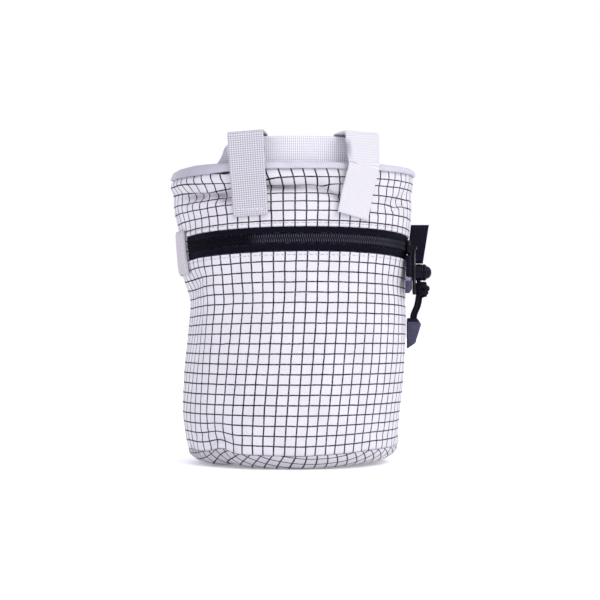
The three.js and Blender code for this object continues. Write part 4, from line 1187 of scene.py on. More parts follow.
def make_coil():
    start, end = zip_ends()
    points, faces = coil_tooth()
    places = []
    middle_out = RECESS_FLOOR + COIL_THICKNESS / 2 + 0.1
    count = int((end - start - 2) / TOOTH_PITCH)
    # Each tooth's ridge is painted paler as a highlight, none left of TEETH_FROM and less towards the far
    # right.
    ridge = smooth_step((points[:, 1] / points[:, 1].max() - 0.55) / 0.4)
    ridge = ridge * smooth_step((0.62 - (np.abs(points[:, 2]) / (COIL_WIDTH / 2))) / 0.3 + 0.6)
    painted_highlight = []
    for k in range(count):
        at = start + 1 + k * TOOTH_PITCH
        angle = float(angle_at(at, ZIP_LENGTHS))
        shown = smooth_step((angle - TEETH_FROM) / 10) * (1 - 0.7 * smooth_step((angle - 48) / 20))
        for side in (1, -1):
            shift = 0 if side > 0 else TOOTH_PITCH / 2
            out = np.minimum(middle_out + points[:, 1], COIL_TOP)
            places.append(along_zip(at + shift + points[:, 0], side * points[:, 2], out))
            painted_highlight.append(ridge * shown)
    teeth = copies(points, faces, places)
    teeth.data.attributes.new("painted_highlight", "FLOAT", "POINT").data.foreach_set("value", np.concatenate(painted_highlight))
    select_only(teeth)
    bpy.ops.object.mode_set(mode="EDIT")
    bpy.ops.mesh.select_all(action="SELECT")
    bpy.ops.mesh.normals_make_consistent(inside=False)
    bpy.ops.object.mode_set(mode="OBJECT")
    finish_piece(teeth, "zip_coil_teeth", [ZIP_COIL], nodes=["zip_coil"])
    distance = np.linspace(start, end, 150)
    ups = np.array([-COIL_WIDTH / 2, COIL_WIDTH / 2, COIL_WIDTH / 2, -COIL_WIDTH / 2])
    outs = np.array([RECESS_FLOOR, RECESS_FLOOR, RECESS_FLOOR + 0.55, RECESS_FLOOR + 0.55])
    grid = along_zip(distance[:, None], ups[None, :], outs[None, :])
    core = loft(grid, np.append(ups, ups[0]), np.append(distance, distance[-1]), around=True)
    finish_piece(core, "zip_coil_backing", [ZIP_TAPE])


make_coil()
for side, name in ((1, "upper"), (-1, "lower")):
    line_angles = np.linspace(ZIP_START + 1.5, ZIP_END - 1.5, 160)
    height = ZIP_HEIGHT + side * (COIL_WIDTH / 2 + 0.9)
    line = cloth_point(line_angles, height, RECESS_FLOOR + TAPE_THICKNESS + 0.12)
    stitches(f"zip_{name}_sewing", line, level_normals(line_angles, height), BLACK_THREAD,
             length=1.5, pitch=2.0, width=0.35, rise=0.25)

# Webbing.


def belt_place(angle, inset, middle, lean):
    lean = np.radians(lean)
    foot_out = BELT_WIDTH / 2 * np.sin(lean) + BELT_THICKNESS / 2
    inset = -BINDING_INNER + PIECE_GAP + foot_out + inset * BELT_WIDTH
    place = cloth_point(angle, CLOTH_HEIGHT, -inset)
    nx, ny = outwards(angle, CLOTH_HEIGHT)
    place[..., 2] = CLOTH_HEIGHT + BINDING_RISE + middle * BELT_WIDTH
    up = np.stack([-nx * np.sin(lean), -ny * np.sin(lean), np.cos(lean)], axis=-1)
    return place, up


# Angle, inset and middle as shares of the belt's width, and lean inwards in degrees.
BELT_ROUTE = [
    (-112, 0.34, -1.5, 4),
    (-96, 0.3, -1.2, 8),
    (-80, 0.27, -0.8, 16),
    (-66, 0.26, -0.5, 26),
    (-55, 0.2, -0.25, 32),
    (-45, 0.12, -0.12, 26),
    (-35, 0.03, 0.04, 12),
    (-24, 0.03, 0.23, BELT_LEAN_AT_LOOPS),
    (-10, 0.03, 0.245, BELT_LEAN_AT_LOOPS),
    (6, 0.03, 0.245, BELT_LEAN_AT_LOOPS),
    (20, 0.03, 0.245, BELT_LEAN_AT_LOOPS),
    (32, 0.03, 0.23, BELT_LEAN_AT_LOOPS),
    (43, 0.03, 0.17, BELT_LEAN_AT_LOOPS),
    (53, 0.1, 0.06, 26),
    (62, 0.2, -0.12, 36),
    (72, 0.28, -0.5, 30),
    (86, 0.32, -0.9, 20),
    (98, 0.34, -1.2, 10),
    (112, 0.36, -1.5, 4),
]


def catmull(rows, t):
    """Values of every column at places t from 0 to 1 along a table of rows."""
    rows = np.asarray(rows, float)
    last = len(rows) - 1
    where = np.clip(t, 0, 1) * last
    i = np.clip(where.astype(int), 0, last - 1)
    f = (where - i)[:, None]
    p1, p2 = rows[i], rows[i + 1]
    p0 = np.where((i > 0)[:, None], rows[np.maximum(i - 1, 0)], 2 * p1 - p2)
    p3 = np.where((i < last - 1)[:, None], rows[np.minimum(i + 2, last)], 2 * p2 - p1)
    return between(p0, p1, p2, p3, f)


def make_belt():
    rows = catmull(BELT_ROUTE, np.linspace(0, 1, 170))
    middles, ups = belt_place(*rows.T)
    along = unit(np.gradient(middles, axis=0))
    wides = unit(ups - along * np.sum(ups * along, axis=1, keepdims=True))
    thicks = np.cross(along, wides)
    section = band_section(BELT_WIDTH, BELT_THICKNESS, 16)
    belt = band(middles, wides, thicks, section)
    # The belt's tails beyond the loops, which twist and lean inwards, are painted darker: painted shade.
    shade = 0.6 * smooth_step((-30 - rows[:, 0]) / 4) + 0.85 * smooth_step((rows[:, 0] - 42) / 4)
    set_fold_shade(belt, np.repeat(shade, len(section)))
    finish_piece(belt, "belt_strap_webbing", [BELT_WEBBING], nodes=["belt_strap"])


make_belt()

# Angle round the bag; where the loop lies, in rows of share of its height, the way it faces and how far it
# has moved to the right; how its top slopes in degrees, how much its left edge curls back, and its webbing.
BELT_LOOPS = {
    "left": (-18.2, [(0, -16, 1.4), (1, -6, -2.2)], 4.0, 0.0, WHITE_WEBBING),
    "right": (28.0, [(0, 30, -2.5), (0.35, 32, 1.0), (0.62, 32, 4.2), (1, 19, 3.4)], -3.0, 1.0,
              SMOOTH_WEBBING),
}
CURL_START = 3.6
CURL_RADIUS = 3.3


def curled(section, half_width, strength):
    """A webbing section with its left edge bent backwards."""
    bend = max(strength / CURL_RADIUS, 1e-4)
    past = np.maximum(-section[:, 0] - (half_width - CURL_START), 0)
    turn = bend * past
    x = -(half_width - CURL_START) - np.sin(turn) / bend + section[:, 1] * np.sin(turn)
    y = (1 - np.cos(turn)) / bend + section[:, 1] * np.cos(turn)
    bent = np.stack([x, y], axis=1)
    return np.where((past > 0)[:, None], bent, section)


def make_belt_loop(side):
    angle, places, top_slope, curl, material = BELT_LOOPS[side]
    shares, facings, shifts = np.array(places, float).T
    half = LOOP_THICKNESS / 2
    top = CLOTH_HEIGHT + BINDING_RISE + BELT_RISE + 2 * PIECE_GAP + half
    hem = LOOP_HEM_HEIGHT
    origin = cloth_point(angle, CLOTH_HEIGHT)

    def share_at(z):
        return max(0.0, (z - hem) / (top - hem))

    def shift_at(z):
        return float(np.interp(share_at(z), shares, shifts))

    def facing_at(z):
        turn = math.radians(float(np.interp(share_at(z), shares, facings)))
        return np.array([math.sin(turn), -math.cos(turn), 0])

    def across_at(z):
        out = facing_at(z)
        return np.array([-out[1], out[0], 0])

    def wall_reach(z, inside):
        reach = []
        for part in np.linspace(-1, 1, 5):
            at = angle + math.degrees((part * LOOP_WIDTH / 2 + shift_at(z)) / HALF_DEPTH)
            for rise in (-WALL_SPAN, 0, WALL_SPAN):
                point = cloth_point_at(at, min(z + rise, CLOTH_HEIGHT), -CLOTH_THICKNESS if inside else 0.0)
                reach.append(float(np.dot(point - origin, facing_at(z))))
        return min(reach) - PIECE_GAP - half if inside else max(reach) + PIECE_GAP + half

    rim_out = wall_reach(CLOTH_HEIGHT, False) + BINDING_OUTER
    belt_depth = BELT_THICKNESS + BELT_WIDTH / 2 * math.sin(math.radians(BELT_LEAN_AT_LOOPS))
    behind_binding = BINDING_INNER + CLOTH_THICKNESS - PIECE_GAP
    rim_in = wall_reach(CLOTH_HEIGHT, True) + behind_binding - belt_depth - BELT_PLAY
    bend = LOOP_THICKNESS * 1.8
    tail_end = LOOP_TAIL_HEIGHT - LOOP_HEM_STRAIGHT
    route = [
        (wall_reach(hem, False), hem),
        (wall_reach(hem + LOOP_HEM_STRAIGHT, False), hem + LOOP_HEM_STRAIGHT),
        (max(wall_reach(hem + LOOP_RISE, False), rim_out - 1), hem + LOOP_RISE),
        (rim_out, CLOTH_HEIGHT - 2 * BINDING_DROP),
        (rim_out, CLOTH_HEIGHT + BINDING_RISE),
        (rim_out, top - bend),
        (rim_out - bend * 0.3, top - bend * 0.3),
        (rim_out - bend, top),
        (rim_in + bend, top),
        (rim_in + bend * 0.3, top - bend * 0.3),
        (rim_in, top - bend),
        (rim_in, LOOP_TAIL_HEIGHT + LOOP_TAIL_STRAIGHT),
        (min(wall_reach(LOOP_TAIL_HEIGHT, True), rim_in + 2), LOOP_TAIL_HEIGHT),
        (min(wall_reach(tail_end, True), rim_in + 3), tail_end),
    ]
    line = smooth_line([(out, z, 0.0) for out, z in route], 120)
    middles = np.array([origin * (1, 1, 0) + facing_at(z) * out + across_at(z) * shift_at(z) + (0, 0, z)
                        for out, z, _ in line])
    slopes = np.array([math.tan(math.radians(top_slope * share_at(z))) for _, z, _ in line])
    across = unit(np.array([across_at(z) for _, z, _ in line]) + slopes[:, None] * (0, 0, 1))
    along = unit(np.gradient(middles, axis=0))
    thicks = unit(np.cross(along, across))
    wides = np.cross(thicks, along)
    section = band_section(LOOP_WIDTH, LOOP_THICKNESS, 26)
    front = line[:, 0] > (rim_out + rim_in) / 2
    above = smooth_step((line[:, 1] - CLOTH_HEIGHT - BINDING_RISE) / 8)
    strengths = curl * front * above * smooth_step((top - 1.6 - line[:, 1]) / 5)
    loop = band(middles, wides, thicks, np.array([curled(section, LOOP_WIDTH / 2, s) for s in strengths]))
    # The curled-back left edge of the right loop is painted darker: painted shade.
    edge = smooth_step((-section[:, 0] - LOOP_WIDTH / 2 + CURL_START) / 2.5)
    set_fold_shade(loop, 0.8 * strengths[:, None] * edge[None, :])
    finish_piece(loop, f"belt_loop_{side}_webbing", [material],
                 nodes=[f"belt_loop_{side}"])
    facing, across = facing_at(hem), across_at(hem)
    row = [origin * (1, 1, 0) + facing * (wall_reach(hem, False) + half)
           + across * (part * LOOP_WIDTH * 0.43 + shift_at(hem))
           + (0, 0, hem + 3.6) for part in np.linspace(-1, 1, 9)]
    stitches(f"belt_loop_{side}_stitches", row, [facing] * 9, WHITE_THREAD, length=1.9,
             pitch=2.6, width=0.7, rise=0.5)


for side in BELT_LOOPS:
    make_belt_loop(side)


def make_brush_loop():
    count = 60
    share = np.linspace(0, 1, count)
    angles = BRUSH_LOOP_START + (BRUSH_LOOP_END - BRUSH_LOOP_START) * share
    inner = SEWN_GAP + BRUSH_LOOP_BOW * np.sin(math.pi * share) ** 2
    levels = np.linspace(BRUSH_LOOP_BOTTOM, BRUSH_LOOP_BOTTOM + BRUSH_LOOP_HEIGHT, 16)
    half = BRUSH_LOOP_THICKNESS / 2
    past_flat = (np.abs(levels - levels.mean()) - (BRUSH_LOOP_HEIGHT / 2 - half)).clip(0) / half
    reach = half * np.minimum(1, np.sqrt(np.maximum(0, 1 - past_flat ** 2)) + 0.25)
    middle = inner[:, None] + half
    outer = cloth_point_at(angles[:, None], levels[None, :], middle + reach[None, :])
    back = cloth_point_at(angles[:, None], levels[None, ::-1], middle - reach[None, ::-1])
    grid = np.concatenate([back, outer], axis=1)
    length = np.interp(angles, ROUND_ANGLES, ZIP_LENGTHS)
    ups = np.concatenate([levels[::-1], levels, levels[-1:]])
    loop = loft(grid, ups, np.append(length, length[-1]), around=True)
    finish_piece(loop, "brush_loop_band", [SHADED_BRUSH_WEBBING], nodes=["brush_loop"])
    for end, way, label in ((BRUSH_LOOP_START, -1, "front"), (BRUSH_LOOP_END, 1, "back")):
        z = np.linspace(BRUSH_LOOP_BOTTOM + 1.5, BRUSH_LOOP_BOTTOM + BRUSH_LOOP_HEIGHT - 1.5, 12)
        at = np.full(12, end + way * 1.8)
        line = cloth_point_at(at, z, SEWN_GAP + BRUSH_LOOP_THICKNESS + 0.1)
        stitches(f"brush_loop_{label}_stitches", line, level_normals(at, z), WHITE_THREAD,
                 length=1.7, pitch=2.4)


make_brush_loop()


def make_side_tab():
    """The tab: one length of webbing folded at its outer edge, both layers sewn to the side."""
    layer = TAB_THICKNESS / 2 - 0.12
    levels = np.linspace(TAB_BOTTOM, TAB_TOP, 18)
    edge_round = 0.6
    upper = side_x(TAB_TOP) + TAB_REACH_TOP
    lower = side_x(TAB_BOTTOM) + TAB_REACH_BOTTOM
    rows = []
    for z in levels:
        share = (z - TAB_BOTTOM) / TAB_HEIGHT
        past = max(abs(share - 0.5) * TAB_HEIGHT - TAB_HEIGHT / 2 + edge_round, 0) / edge_round
        half = layer * min(1.0, math.sqrt(max(0.0, 1 - past ** 2)) + 0.3)
        root = side_x(z) + SEWN_GAP
        reach = upper * share + lower * (1 - share)
        flat = np.linspace(root, reach - 1.2, 9)
        turn = np.linspace(-math.pi / 2, math.pi / 2, 9)[1:-1]
        near = [(x, -0.12 - half) for x in flat]
        fold = [(reach - 1.2 + 1.2 * math.cos(t), (0.12 + half) * math.sin(t)) for t in turn]
        far = [(x, 0.12 + half) for x in flat[::-1]]
        slit_end = root + 0.6 * (reach - root)
        slit = [(root, 0.12), (slit_end, 0.1), (slit_end, -0.1), (root, -0.12)]
        rows.append([(x, y, z) for x, y in near + fold + far + slit])
    grid = np.array(rows)
    u = np.concatenate([[0], np.cumsum(np.hypot(*np.diff(grid[0, :, :2], axis=0).T)), [60]])
    tab = loft(grid, u, np.append(levels, levels[-1]), around=True)
    uv = tab.data.uv_layers["UVMap"].data
    turned = np.empty(len(uv) * 2)
    uv.foreach_get("uv", turned)
    uv.foreach_set("uv", turned.reshape(-1, 2)[:, ::-1].ravel())
    finish_piece(tab, "side_tab_webbing", [BLACK_WEBBING], nodes=["side_tab"])
    inset = 1.7
    top, low = TAB_TOP - inset, TAB_BOTTOM + inset
    for label, face in (("front", -1), ("back", 1)):
        y = face * TAB_THICKNESS / 2
        path = [(side_x(top) + PIECE_GAP + 1.2, y, top), (upper - inset - 0.8, y, top),
                (lower - inset - 0.6, y, low), (side_x(low) + PIECE_GAP + 1.2, y, low)]
        stitches(f"side_tab_stitches_{label}", path, [(0, face, 0)] * 4, BLACK_THREAD,
                 length=1.6, pitch=2.2, width=0.4, rise=0.3)


make_side_tab()

# Hard pieces.


def begin(kind, place, **settings):
    """Adds a primitive at its place in millimetres, with everything else deselected."""
    bpy.ops.object.select_all(action="DESELECT")
    getattr(bpy.ops.mesh, f"primitive_{kind}_add")(location=Vector(place) * MM, **settings)
    return bpy.context.object


def block(place, size):
    """A box of a size in millimetres, centred on its place."""
    made = begin("cube", place, size=1)
    made.scale = [length * MM for length in size]
    apply_place(made)
    return made


def rod(place, radius, length, vertices):
    """A round rod along x, centred on its place, in millimetres."""
    made = begin("cylinder", place, vertices=vertices, radius=radius * MM, depth=length * MM,
                 rotation=(0, math.pi / 2, 0))
    apply_place(made)
    return made


def edit(obj, choose, action, kind="EDGE"):
    """Runs an edit-mode action on the faces or edges that choose accepts, by their place in mm."""
    select_only(obj)
    bpy.ops.object.mode_set(mode="EDIT")
    bpy.ops.mesh.select_mode(type=kind)
    bpy.ops.mesh.select_all(action="DESELECT")
    bpy.ops.object.mode_set(mode="OBJECT")
    mesh = obj.data
    if kind == "FACE":
        for face in mesh.polygons:
            face.select = bool(choose(face.center / MM, face.normal))
    else:
        for e in mesh.edges:
            a, b = (mesh.vertices[k].co / MM for k in e.vertices)
            e.select = bool(choose((a + b) / 2, b - a))
    bpy.ops.object.mode_set(mode="EDIT")
    action()
    bpy.ops.object.mode_set(mode="OBJECT")


def apply_place(obj):
    select_only(obj)
    bpy.ops.object.transform_apply(location=True, rotation=True, scale=True)


def apply_modifier(obj, kind, **settings):
    select_only(obj)
    modifier = obj.modifiers.new(kind.lower(), kind)
    for key, value in settings.items():
        setattr(modifier, key, value)
    bpy.ops.object.modifier_apply(modifier=modifier.name)


def bevelled(obj, width, segments=3, angle=30):
    apply_modifier(obj, "BEVEL", width=width * MM, segments=segments, limit_method="ANGLE",
                   angle_limit=math.radians(angle), harden_normals=False)


def smooth_by_angle(obj, angle=40):
    select_only(obj)
    bpy.ops.object.shade_smooth_by_angle(angle=math.radians(angle))


def plate_piece(corners, thickness, y):
    """A flat piece cut to an outline in x and z, of a thickness centred on y."""
    front = [(x, y - thickness / 2, z) for x, z in corners]
    back = [(x, y + thickness / 2, z) for x, z in corners]
    count = len(corners)
    faces = [tuple(range(count)), tuple(range(2 * count - 1, count - 1, -1))]
    faces += [((k + 1) % count, k, k + count, (k + 1) % count + count) for k in range(count)]
    obj = mesh_object(front + back, faces)
    face_outwards(obj)
    return obj


PLATE_INNER = COIL_TOP + 2 * PIECE_GAP
PLATE_OUTER = PLATE_INNER + SLIDER_PLATE
BAR_OUT = PLATE_OUTER + BAR_STANDOFF
slider_place = cloth_point(SLIDER_ANGLE, ZIP_HEIGHT)
TO_SLIDER = (Matrix.Translation(Vector(slider_place) * MM)
             @ Matrix.Rotation(math.radians(SLIDER_ANGLE), 4, "Z"))


def to_slider(obj):
    """Moves a piece that was made as at the front, round to the slider's place."""
    obj.data.transform(TO_SLIDER)
    obj.data.update()


def joined_pieces(*pieces):
    """Unites closed pieces into one with the boolean modifier."""
    first = pieces[0]
    for other in pieces[1:]:
        apply_modifier(first, "BOOLEAN", object=other, operation="UNION", solver="EXACT")
        bpy.data.objects.remove(other, do_unlink=True)
    return first


def cut_piece(body, tool):
    apply_modifier(body, "BOOLEAN", object=tool, operation="DIFFERENCE", solver="EXACT")
    bpy.data.objects.remove(tool, do_unlink=True)


def make_slider():
    half, wide = SLIDER_LENGTH / 2, SLIDER_WIDTH / 2
    middle = -(PLATE_INNER + PLATE_OUTER) / 2
    top = block((0, middle, 0), (SLIDER_LENGTH, SLIDER_PLATE, SLIDER_WIDTH))
    edit(top, lambda c, d: c.x < -half + 0.1 and abs(c.z) > wide - 0.1 and abs(d.y) > 0.5,
         lambda: bpy.ops.mesh.bevel(offset=2.4 * MM, segments=4, profile=0.5))
    edit(top, lambda c, d: c.x > half - 0.1 and abs(c.z) > wide - 0.1 and abs(d.y) > 0.5,
         lambda: bpy.ops.mesh.bevel(offset=1.2 * MM, segments=3, profile=0.5))
    edit(top, lambda c, n: n.y < -0.9,
         lambda: (bpy.ops.mesh.inset(thickness=0.7 * MM),
                  bpy.ops.transform.translate(value=(0, -0.25 * MM, 0))), "FACE")
    bar = rod((0, -BAR_OUT, 0), BAR_RADIUS, BAR_LENGTH + 1, 24)
    legs = []
    for side in (-1, 1):
        tall = BAR_OUT + BAR_RADIUS - PLATE_OUTER + LEG_SINK
        leg = block((side * (BAR_LENGTH + 1) / 2, -(PLATE_OUTER - LEG_SINK + tall / 2), 0),
                    (LEG_THICKNESS, tall, LEG_WIDTH))
        edit(leg, lambda c, d: c.y < -(BAR_OUT + BAR_RADIUS) + 0.3 and abs(d.x) > 0.5,
             lambda: bpy.ops.mesh.bevel(offset=0.8 * MM, segments=4))
        legs.append(leg)
    slider = joined_pieces(top, bar, *legs)
    bevelled(slider, 0.18, 2, 35)
    to_slider(slider)
    smooth_by_angle(slider)
    finish_piece(slider, "zip_slider_body", [DARK_METAL], nodes=["zip_slider"], smooth=False)


make_slider()


def make_puller():
    eye_radius = BAR_RADIUS + BAR_CLEARANCE + EYE_WALL
    eye_length = BAR_LENGTH - LEG_THICKNESS
    eye = rod((0, 0, 0), eye_radius, eye_length, 28)
    half, neck = PULLER_WIDTH / 2, eye_length / 2
    start = -(BAR_RADIUS + BAR_CLEARANCE + EYE_WALL / 3)
    tip, corner = -PULLER_LENGTH, PULLER_TIP_CORNER
    corners = [(-neck, start), (-neck, -PULLER_NECK), (-half, -PULLER_SHOULDER), (-half, tip + corner),
               (-half + corner, tip), (half - corner, tip), (half, tip + corner), (half, -PULLER_SHOULDER),
               (neck, -PULLER_NECK), (neck, start)]
    blade = plate_piece(corners, PULLER_THICKNESS, 0)
    slot = block((0, 0, tip + 5), (2.2, 4, 4.6))
    edit(slot, lambda c, d: abs(d.y) > 1, lambda: bpy.ops.mesh.bevel(offset=1.0 * MM, segments=5))
    cut_piece(blade, slot)
    puller = joined_pieces(eye, blade)
    cut_piece(puller, rod((0, 0, 0), BAR_RADIUS + BAR_CLEARANCE, 12, 28))
    bevelled(puller, 0.2, 3, 35)
    # Edge faces of the blade on one side, below its eye, get the paler metal: a painted highlight.
    painted_highlight = [int(face.normal.x < -0.3 and face.normal.y < -0.3 and face.center.z < -4 * MM)
              for face in puller.data.polygons]
    puller.data.transform(Matrix.Translation(Vector((0, -BAR_OUT, 0)) * MM))
    to_slider(puller)
    smooth_by_angle(puller)
    finish_piece(puller, "puller_blade", [DARK_METAL, HIGHLIGHT_METAL], body="puller",
                 nodes=["zip_puller"], smooth=False)
    puller.data.polygons.foreach_set("material_index", painted_highlight)


make_puller()


def faces_above(obj, z):
    """Cuts a piece round at a height in millimetres, and tells of each face whether it is above it."""
    edit(obj, lambda c, n: True,
         lambda: bpy.ops.mesh.bisect(plane_co=(0, 0, z * MM), plane_no=(0, 0, 1)), "FACE")
    return [int(face.center.z > z * MM) for face in obj.data.polygons]


def make_pull_tape_and_grip():
    out = BAR_OUT - PULLER_THICKNESS / 2 - PIECE_GAP - PULL_TAPE[1] / 2
    right = -PULL_TAPE_SHIFT
    left = right - PULL_TAPE[0]
    top = -SLIDER_WIDTH / 2 - PULL_TAPE_DROP
    low = top - PULL_TAPE[2]
    z = np.linspace(low, top + 1.2, 24)
    middles = np.stack([np.full(24, (left + right) / 2), np.full(24, -out), z], axis=1)
    wides = np.repeat([[1.0, 0, 0]], 24, axis=0)
    thicks = np.repeat([[0, -1.0, 0]], 24, axis=0)
    tape = band(middles, wides, thicks, band_section(PULL_TAPE[0], PULL_TAPE[1], 10))
    to_slider(tape)
    finish_piece(tape, "pull_tape_webbing", [BLACK_WEBBING], body="puller",
                 nodes=["pull_tape"])
    grip_right = right - PULL_TAPE_SHIFT
    grip_left = grip_right - GRIP[0]
    grip_top = low - PIECE_GAP
    grip_low = grip_top - GRIP[2]
    grip_out = BAR_OUT - PULLER_THICKNESS / 2 - PIECE_GAP - GRIP[1] / 2
    corners = [(grip_left, grip_low), (grip_right, grip_low + GRIP_SLANT), (grip_right, grip_top),
               (grip_left + GRIP_TAPER, grip_top)]
    grip = plate_piece(corners, GRIP[1], -grip_out)
    edit(grip, lambda c, n: abs(n.y) > 0.9,
         lambda: (bpy.ops.mesh.inset(thickness=1.1 * MM),
                  bpy.ops.transform.shrink_fatten(value=-0.3 * MM)), "FACE")
    bevelled(grip, 0.45, 4, 25)
    # The top 1.9 mm of the grip gets the paler plastic: a painted highlight.
    pale = faces_above(grip, grip_top - 1.9)
    to_slider(grip)
    smooth_by_angle(grip)
    finish_piece(grip, "pull_grip_body", [SLATE_PLASTIC, SLATE_HIGHLIGHT], body="puller",
                 nodes=["pull_grip"], smooth=False)
    grip.data.polygons.foreach_set("material_index", pale)


make_pull_tape_and_grip()


def turned_piece(profile, steps=48):
    """A turned piece about the lock's axis, from rows of distance along x and radius, spun in edit mode."""
    mesh = bpy.data.meshes.new("turned")
    points = [(x * MM, 0, (r + LOCK_Z) * MM) for x, r in profile]
    mesh.from_pydata(points, [(k, k + 1) for k in range(len(points) - 1)], [])
    obj = bpy.data.objects.new("turned", mesh)
    bpy.context.scene.collection.objects.link(obj)
    select_only(obj)
    bpy.ops.object.mode_set(mode="EDIT")
    bpy.ops.mesh.select_all(action="SELECT")
    bpy.ops.mesh.spin(steps=steps, angle=2 * math.pi, center=(0, 0, LOCK_Z * MM), axis=(1, 0, 0))
    bpy.ops.mesh.select_all(action="SELECT")
    bpy.ops.mesh.remove_doubles(threshold=0.00001)
    bpy.ops.mesh.normals_make_consistent(inside=False)
    bpy.ops.object.mode_set(mode="OBJECT")
    return obj


def rounded(points, radius, steps=4):
    """The corners of a profile rounded off, its two ends kept."""
    points = [np.array(p, float) for p in points]
    made = [points[0]]
    for before, at, after in zip(points, points[1:], points[2:]):
        a, b = before - at, after - at
        reach = min(radius, 0.45 * np.linalg.norm(a), 0.45 * np.linalg.norm(b))
        start, end = at + a / np.linalg.norm(a) * reach, at + b / np.linalg.norm(b) * reach
        for t in np.linspace(0, 1, steps + 1):
            made.append((1 - t) ** 2 * start + 2 * t * (1 - t) * at + t * t * end)
    made.append(points[-1])
    return [tuple(p) for p in made]


def make_cord_lock():
    radius = LOCK_DIAMETER / 2
    bore = BUTTON_DIAMETER / 2 + BUTTON_CLEARANCE
    floor = LOCK_START + LOCK_WALL
    slot_wide = CORD_DIAMETER + 2 * PIECE_GAP
    slot_deep = 2 * STRAND_Y + slot_wide
    groove = radius - 0.25
    profile = rounded([(LOCK_START, 0), (LOCK_START, radius - 0.8), (LOCK_START + 0.8, radius),
                       (LOCK_END - 2.6, radius), (LOCK_END - 2.4, groove), (LOCK_END - 2.0, groove),
                       (LOCK_END - 1.8, radius), (LOCK_END - 0.9, radius), (LOCK_END, radius - 0.7),
                       (LOCK_END, bore), (floor, bore), (floor, 0)], 0.4)
    barrel = turned_piece(profile)
    slot_tall = LOCK_DIAMETER * 1.3
    slot = block((STRAND_X, 0, LOCK_Z), (slot_wide, slot_deep, slot_tall))
    edit(slot, lambda c, d: abs(d.z) > 5, lambda: bpy.ops.mesh.bevel(offset=1.2 * MM, segments=5))
    cut_piece(barrel, slot)
    smooth_by_angle(barrel, 35)
    finish_piece(barrel, "cord_lock_barrel_body", [BLACK_PLASTIC],
                 nodes=["cord_lock_barrel"], smooth=False)
    button = BUTTON_DIAMETER / 2
    inner = floor + PIECE_GAP + BUTTON_TRAVEL
    tip = LOCK_END + BUTTON_STICK_OUT
    dome = [(tip - 3.0 + 3.0 * math.sin(t), button * math.cos(t) ** 0.9)
            for t in np.linspace(0, math.pi / 2, 12)]
    profile = [(inner, 0), (inner, button - 0.3), (inner + 0.3, button)] + dome[:-1] + [(tip, 0)]
    plunger = turned_piece(profile)
    left = STRAND_X - slot_wide / 2
    long_slot = slot_wide + BUTTON_TRAVEL
    cut_piece(plunger, block((left + long_slot / 2, 0, LOCK_Z), (long_slot, slot_deep, slot_tall)))
    smooth_by_angle(plunger, 35)
    finish_piece(plunger, "cord_lock_button_body", [BLACK_PLASTIC], body="lock_button",
                 nodes=["cord_lock_button"], smooth=False)


make_cord_lock()


def make_knot():
    """The knot of the doubled cord, as windings of cord, each tilted its own way. They run into each other and
    into the two strands, so this is the knot's look and not its way round."""
    reach = KNOT_WIDTH / 2 - CORD_DIAMETER / 2
    tall = KNOT_HEIGHT / 2 - CORD_DIAMETER / 2
    # Start and turns in degrees, tilt in degrees, reach as a share.
    windings = [(-30, 900, -24, 1.0), (80, 760, 22, 1.05), (200, 620, 58, 0.8)]
    pieces = []
    for start, turns, tilt, wide in windings:
        t = np.linspace(0, 1, 150)
        a = np.radians(start + turns * t)
        level = tall * (2 * t - 1)
        out = reach * wide * np.sqrt(np.maximum(1 - (level / (1.25 * tall)) ** 2, 0.2))
        x, y = out * np.cos(a), out * np.sin(a)
        lean = math.radians(tilt)
        x, z = x * math.cos(lean) - level * math.sin(lean), x * math.sin(lean) + level * math.cos(lean)
        z = np.clip(z, -tall, tall)
        line = np.stack([KNOT_X + KNOT_BULGE + np.clip(x, -reach, reach + 0.6), y, KNOT_Z + z], axis=1)
        pieces.append(tube(line, CORD_DIAMETER / 2, 12))
    select_only(*pieces)
    bpy.ops.object.join()
    return finish_piece(bpy.context.object, "draw_cord_knot", [CORD_BRAID], nodes=["cord_knot"])


knot = make_knot()


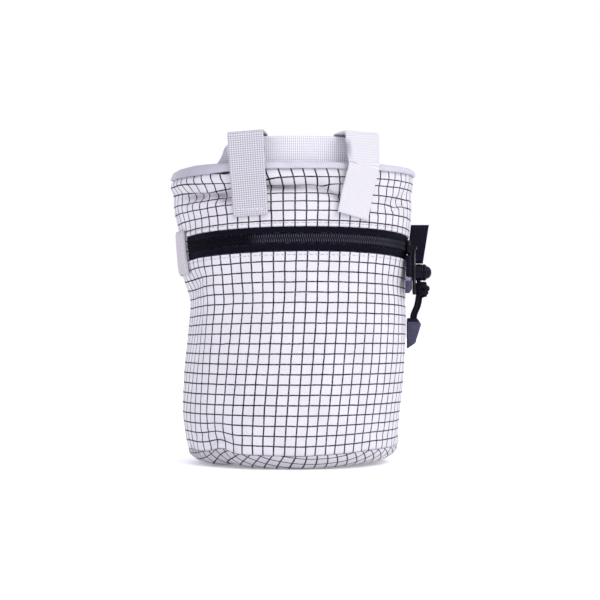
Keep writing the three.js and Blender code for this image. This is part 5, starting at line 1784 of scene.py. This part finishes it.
def make_cord_end():
    low = END_TOP - END_HEIGHT
    corners = [(END_X, low), (END_X + END_WIDTH * 0.62, low + END_HEIGHT * 0.2),
               (END_X + END_WIDTH * 0.66, low + END_HEIGHT * 0.3),
               (END_X + END_WIDTH, END_TOP - END_HEIGHT * 0.2),
               (END_X + END_WIDTH * 0.8, END_TOP - END_HEIGHT * 0.06), (END_X + END_WIDTH * 0.7, END_TOP),
               (END_X, END_TOP)]
    body = plate_piece(corners, END_THICKNESS, 0)
    bevelled(body, 0.7, 4, 25)
    wide = 2 * STRAND_SPREAD + CORD_DIAMETER + 2 * PIECE_GAP + SOCKET_SLACK
    socket = block((MOUTH_X, 0, END_TOP), (wide, wide - SOCKET_SLACK, 2 * SOCKET_DEPTH))
    edit(socket, lambda c, d: abs(d.z) > 5, lambda: bpy.ops.mesh.bevel(offset=1.2 * MM, segments=5))
    cut_piece(body, socket)
    # The top of the end piece, round its mouth, is black plastic.
    black_top = faces_above(body, END_TOP - 2.2)
    smooth_by_angle(body, 35)
    finish_piece(body, "draw_cord_end", [SLATE_PLASTIC, BLACK_PLASTIC], nodes=["cord_end"],
                 smooth=False)
    body.data.polygons.foreach_set("material_index", black_top)
    return body


cord_end = make_cord_end()

# Floor and light.

FLOOR_GLOW = 0.22
KEY_STRENGTH = 1.25


def studio():
    """A pale floor that glows a little so that it stays white, an even room and a large key light."""
    bpy.context.scene.view_settings.view_transform = "Standard"
    bpy.ops.object.select_all(action="DESELECT")
    bpy.ops.mesh.primitive_plane_add(size=12, location=(0, 3.5, 0))
    floor = bpy.context.object
    f = Finish("pale_floor", (0.9, 0.9, 0.91), 0.7, 0.2)
    drift = f.noise(f.place(), 1.5, 1)
    f.shader.inputs["Emission Color"].default_value = (1, 1, 1, 1)
    f.shader.inputs["Emission Strength"].default_value = FLOOR_GLOW
    pale = f.mix(f.ramp(drift, 0.3, 0.7), (0.93, 0.93, 0.94), (0.95, 0.95, 0.96))
    floor.data.materials.append(f.done(Base_Color=pale))
    floor.name = "floor"
    world = bpy.data.worlds.new("studio")
    bpy.context.scene.world = world
    world.use_nodes = True
    background = world.node_tree.nodes["Background"].inputs
    background["Color"].default_value = (1.01, 1.0, 1.07, 1)
    background["Strength"].default_value = 1.0
    turn = (math.radians(52), 0, math.radians(38))
    bpy.ops.object.light_add(type="SUN", location=(2, -2, 2), rotation=turn)
    key = bpy.context.object
    key.name = "key_light"
    key.data.energy = KEY_STRENGTH
    key.data.color = (1.0, 0.99, 0.95)
    key.data.angle = math.radians(35)


studio()
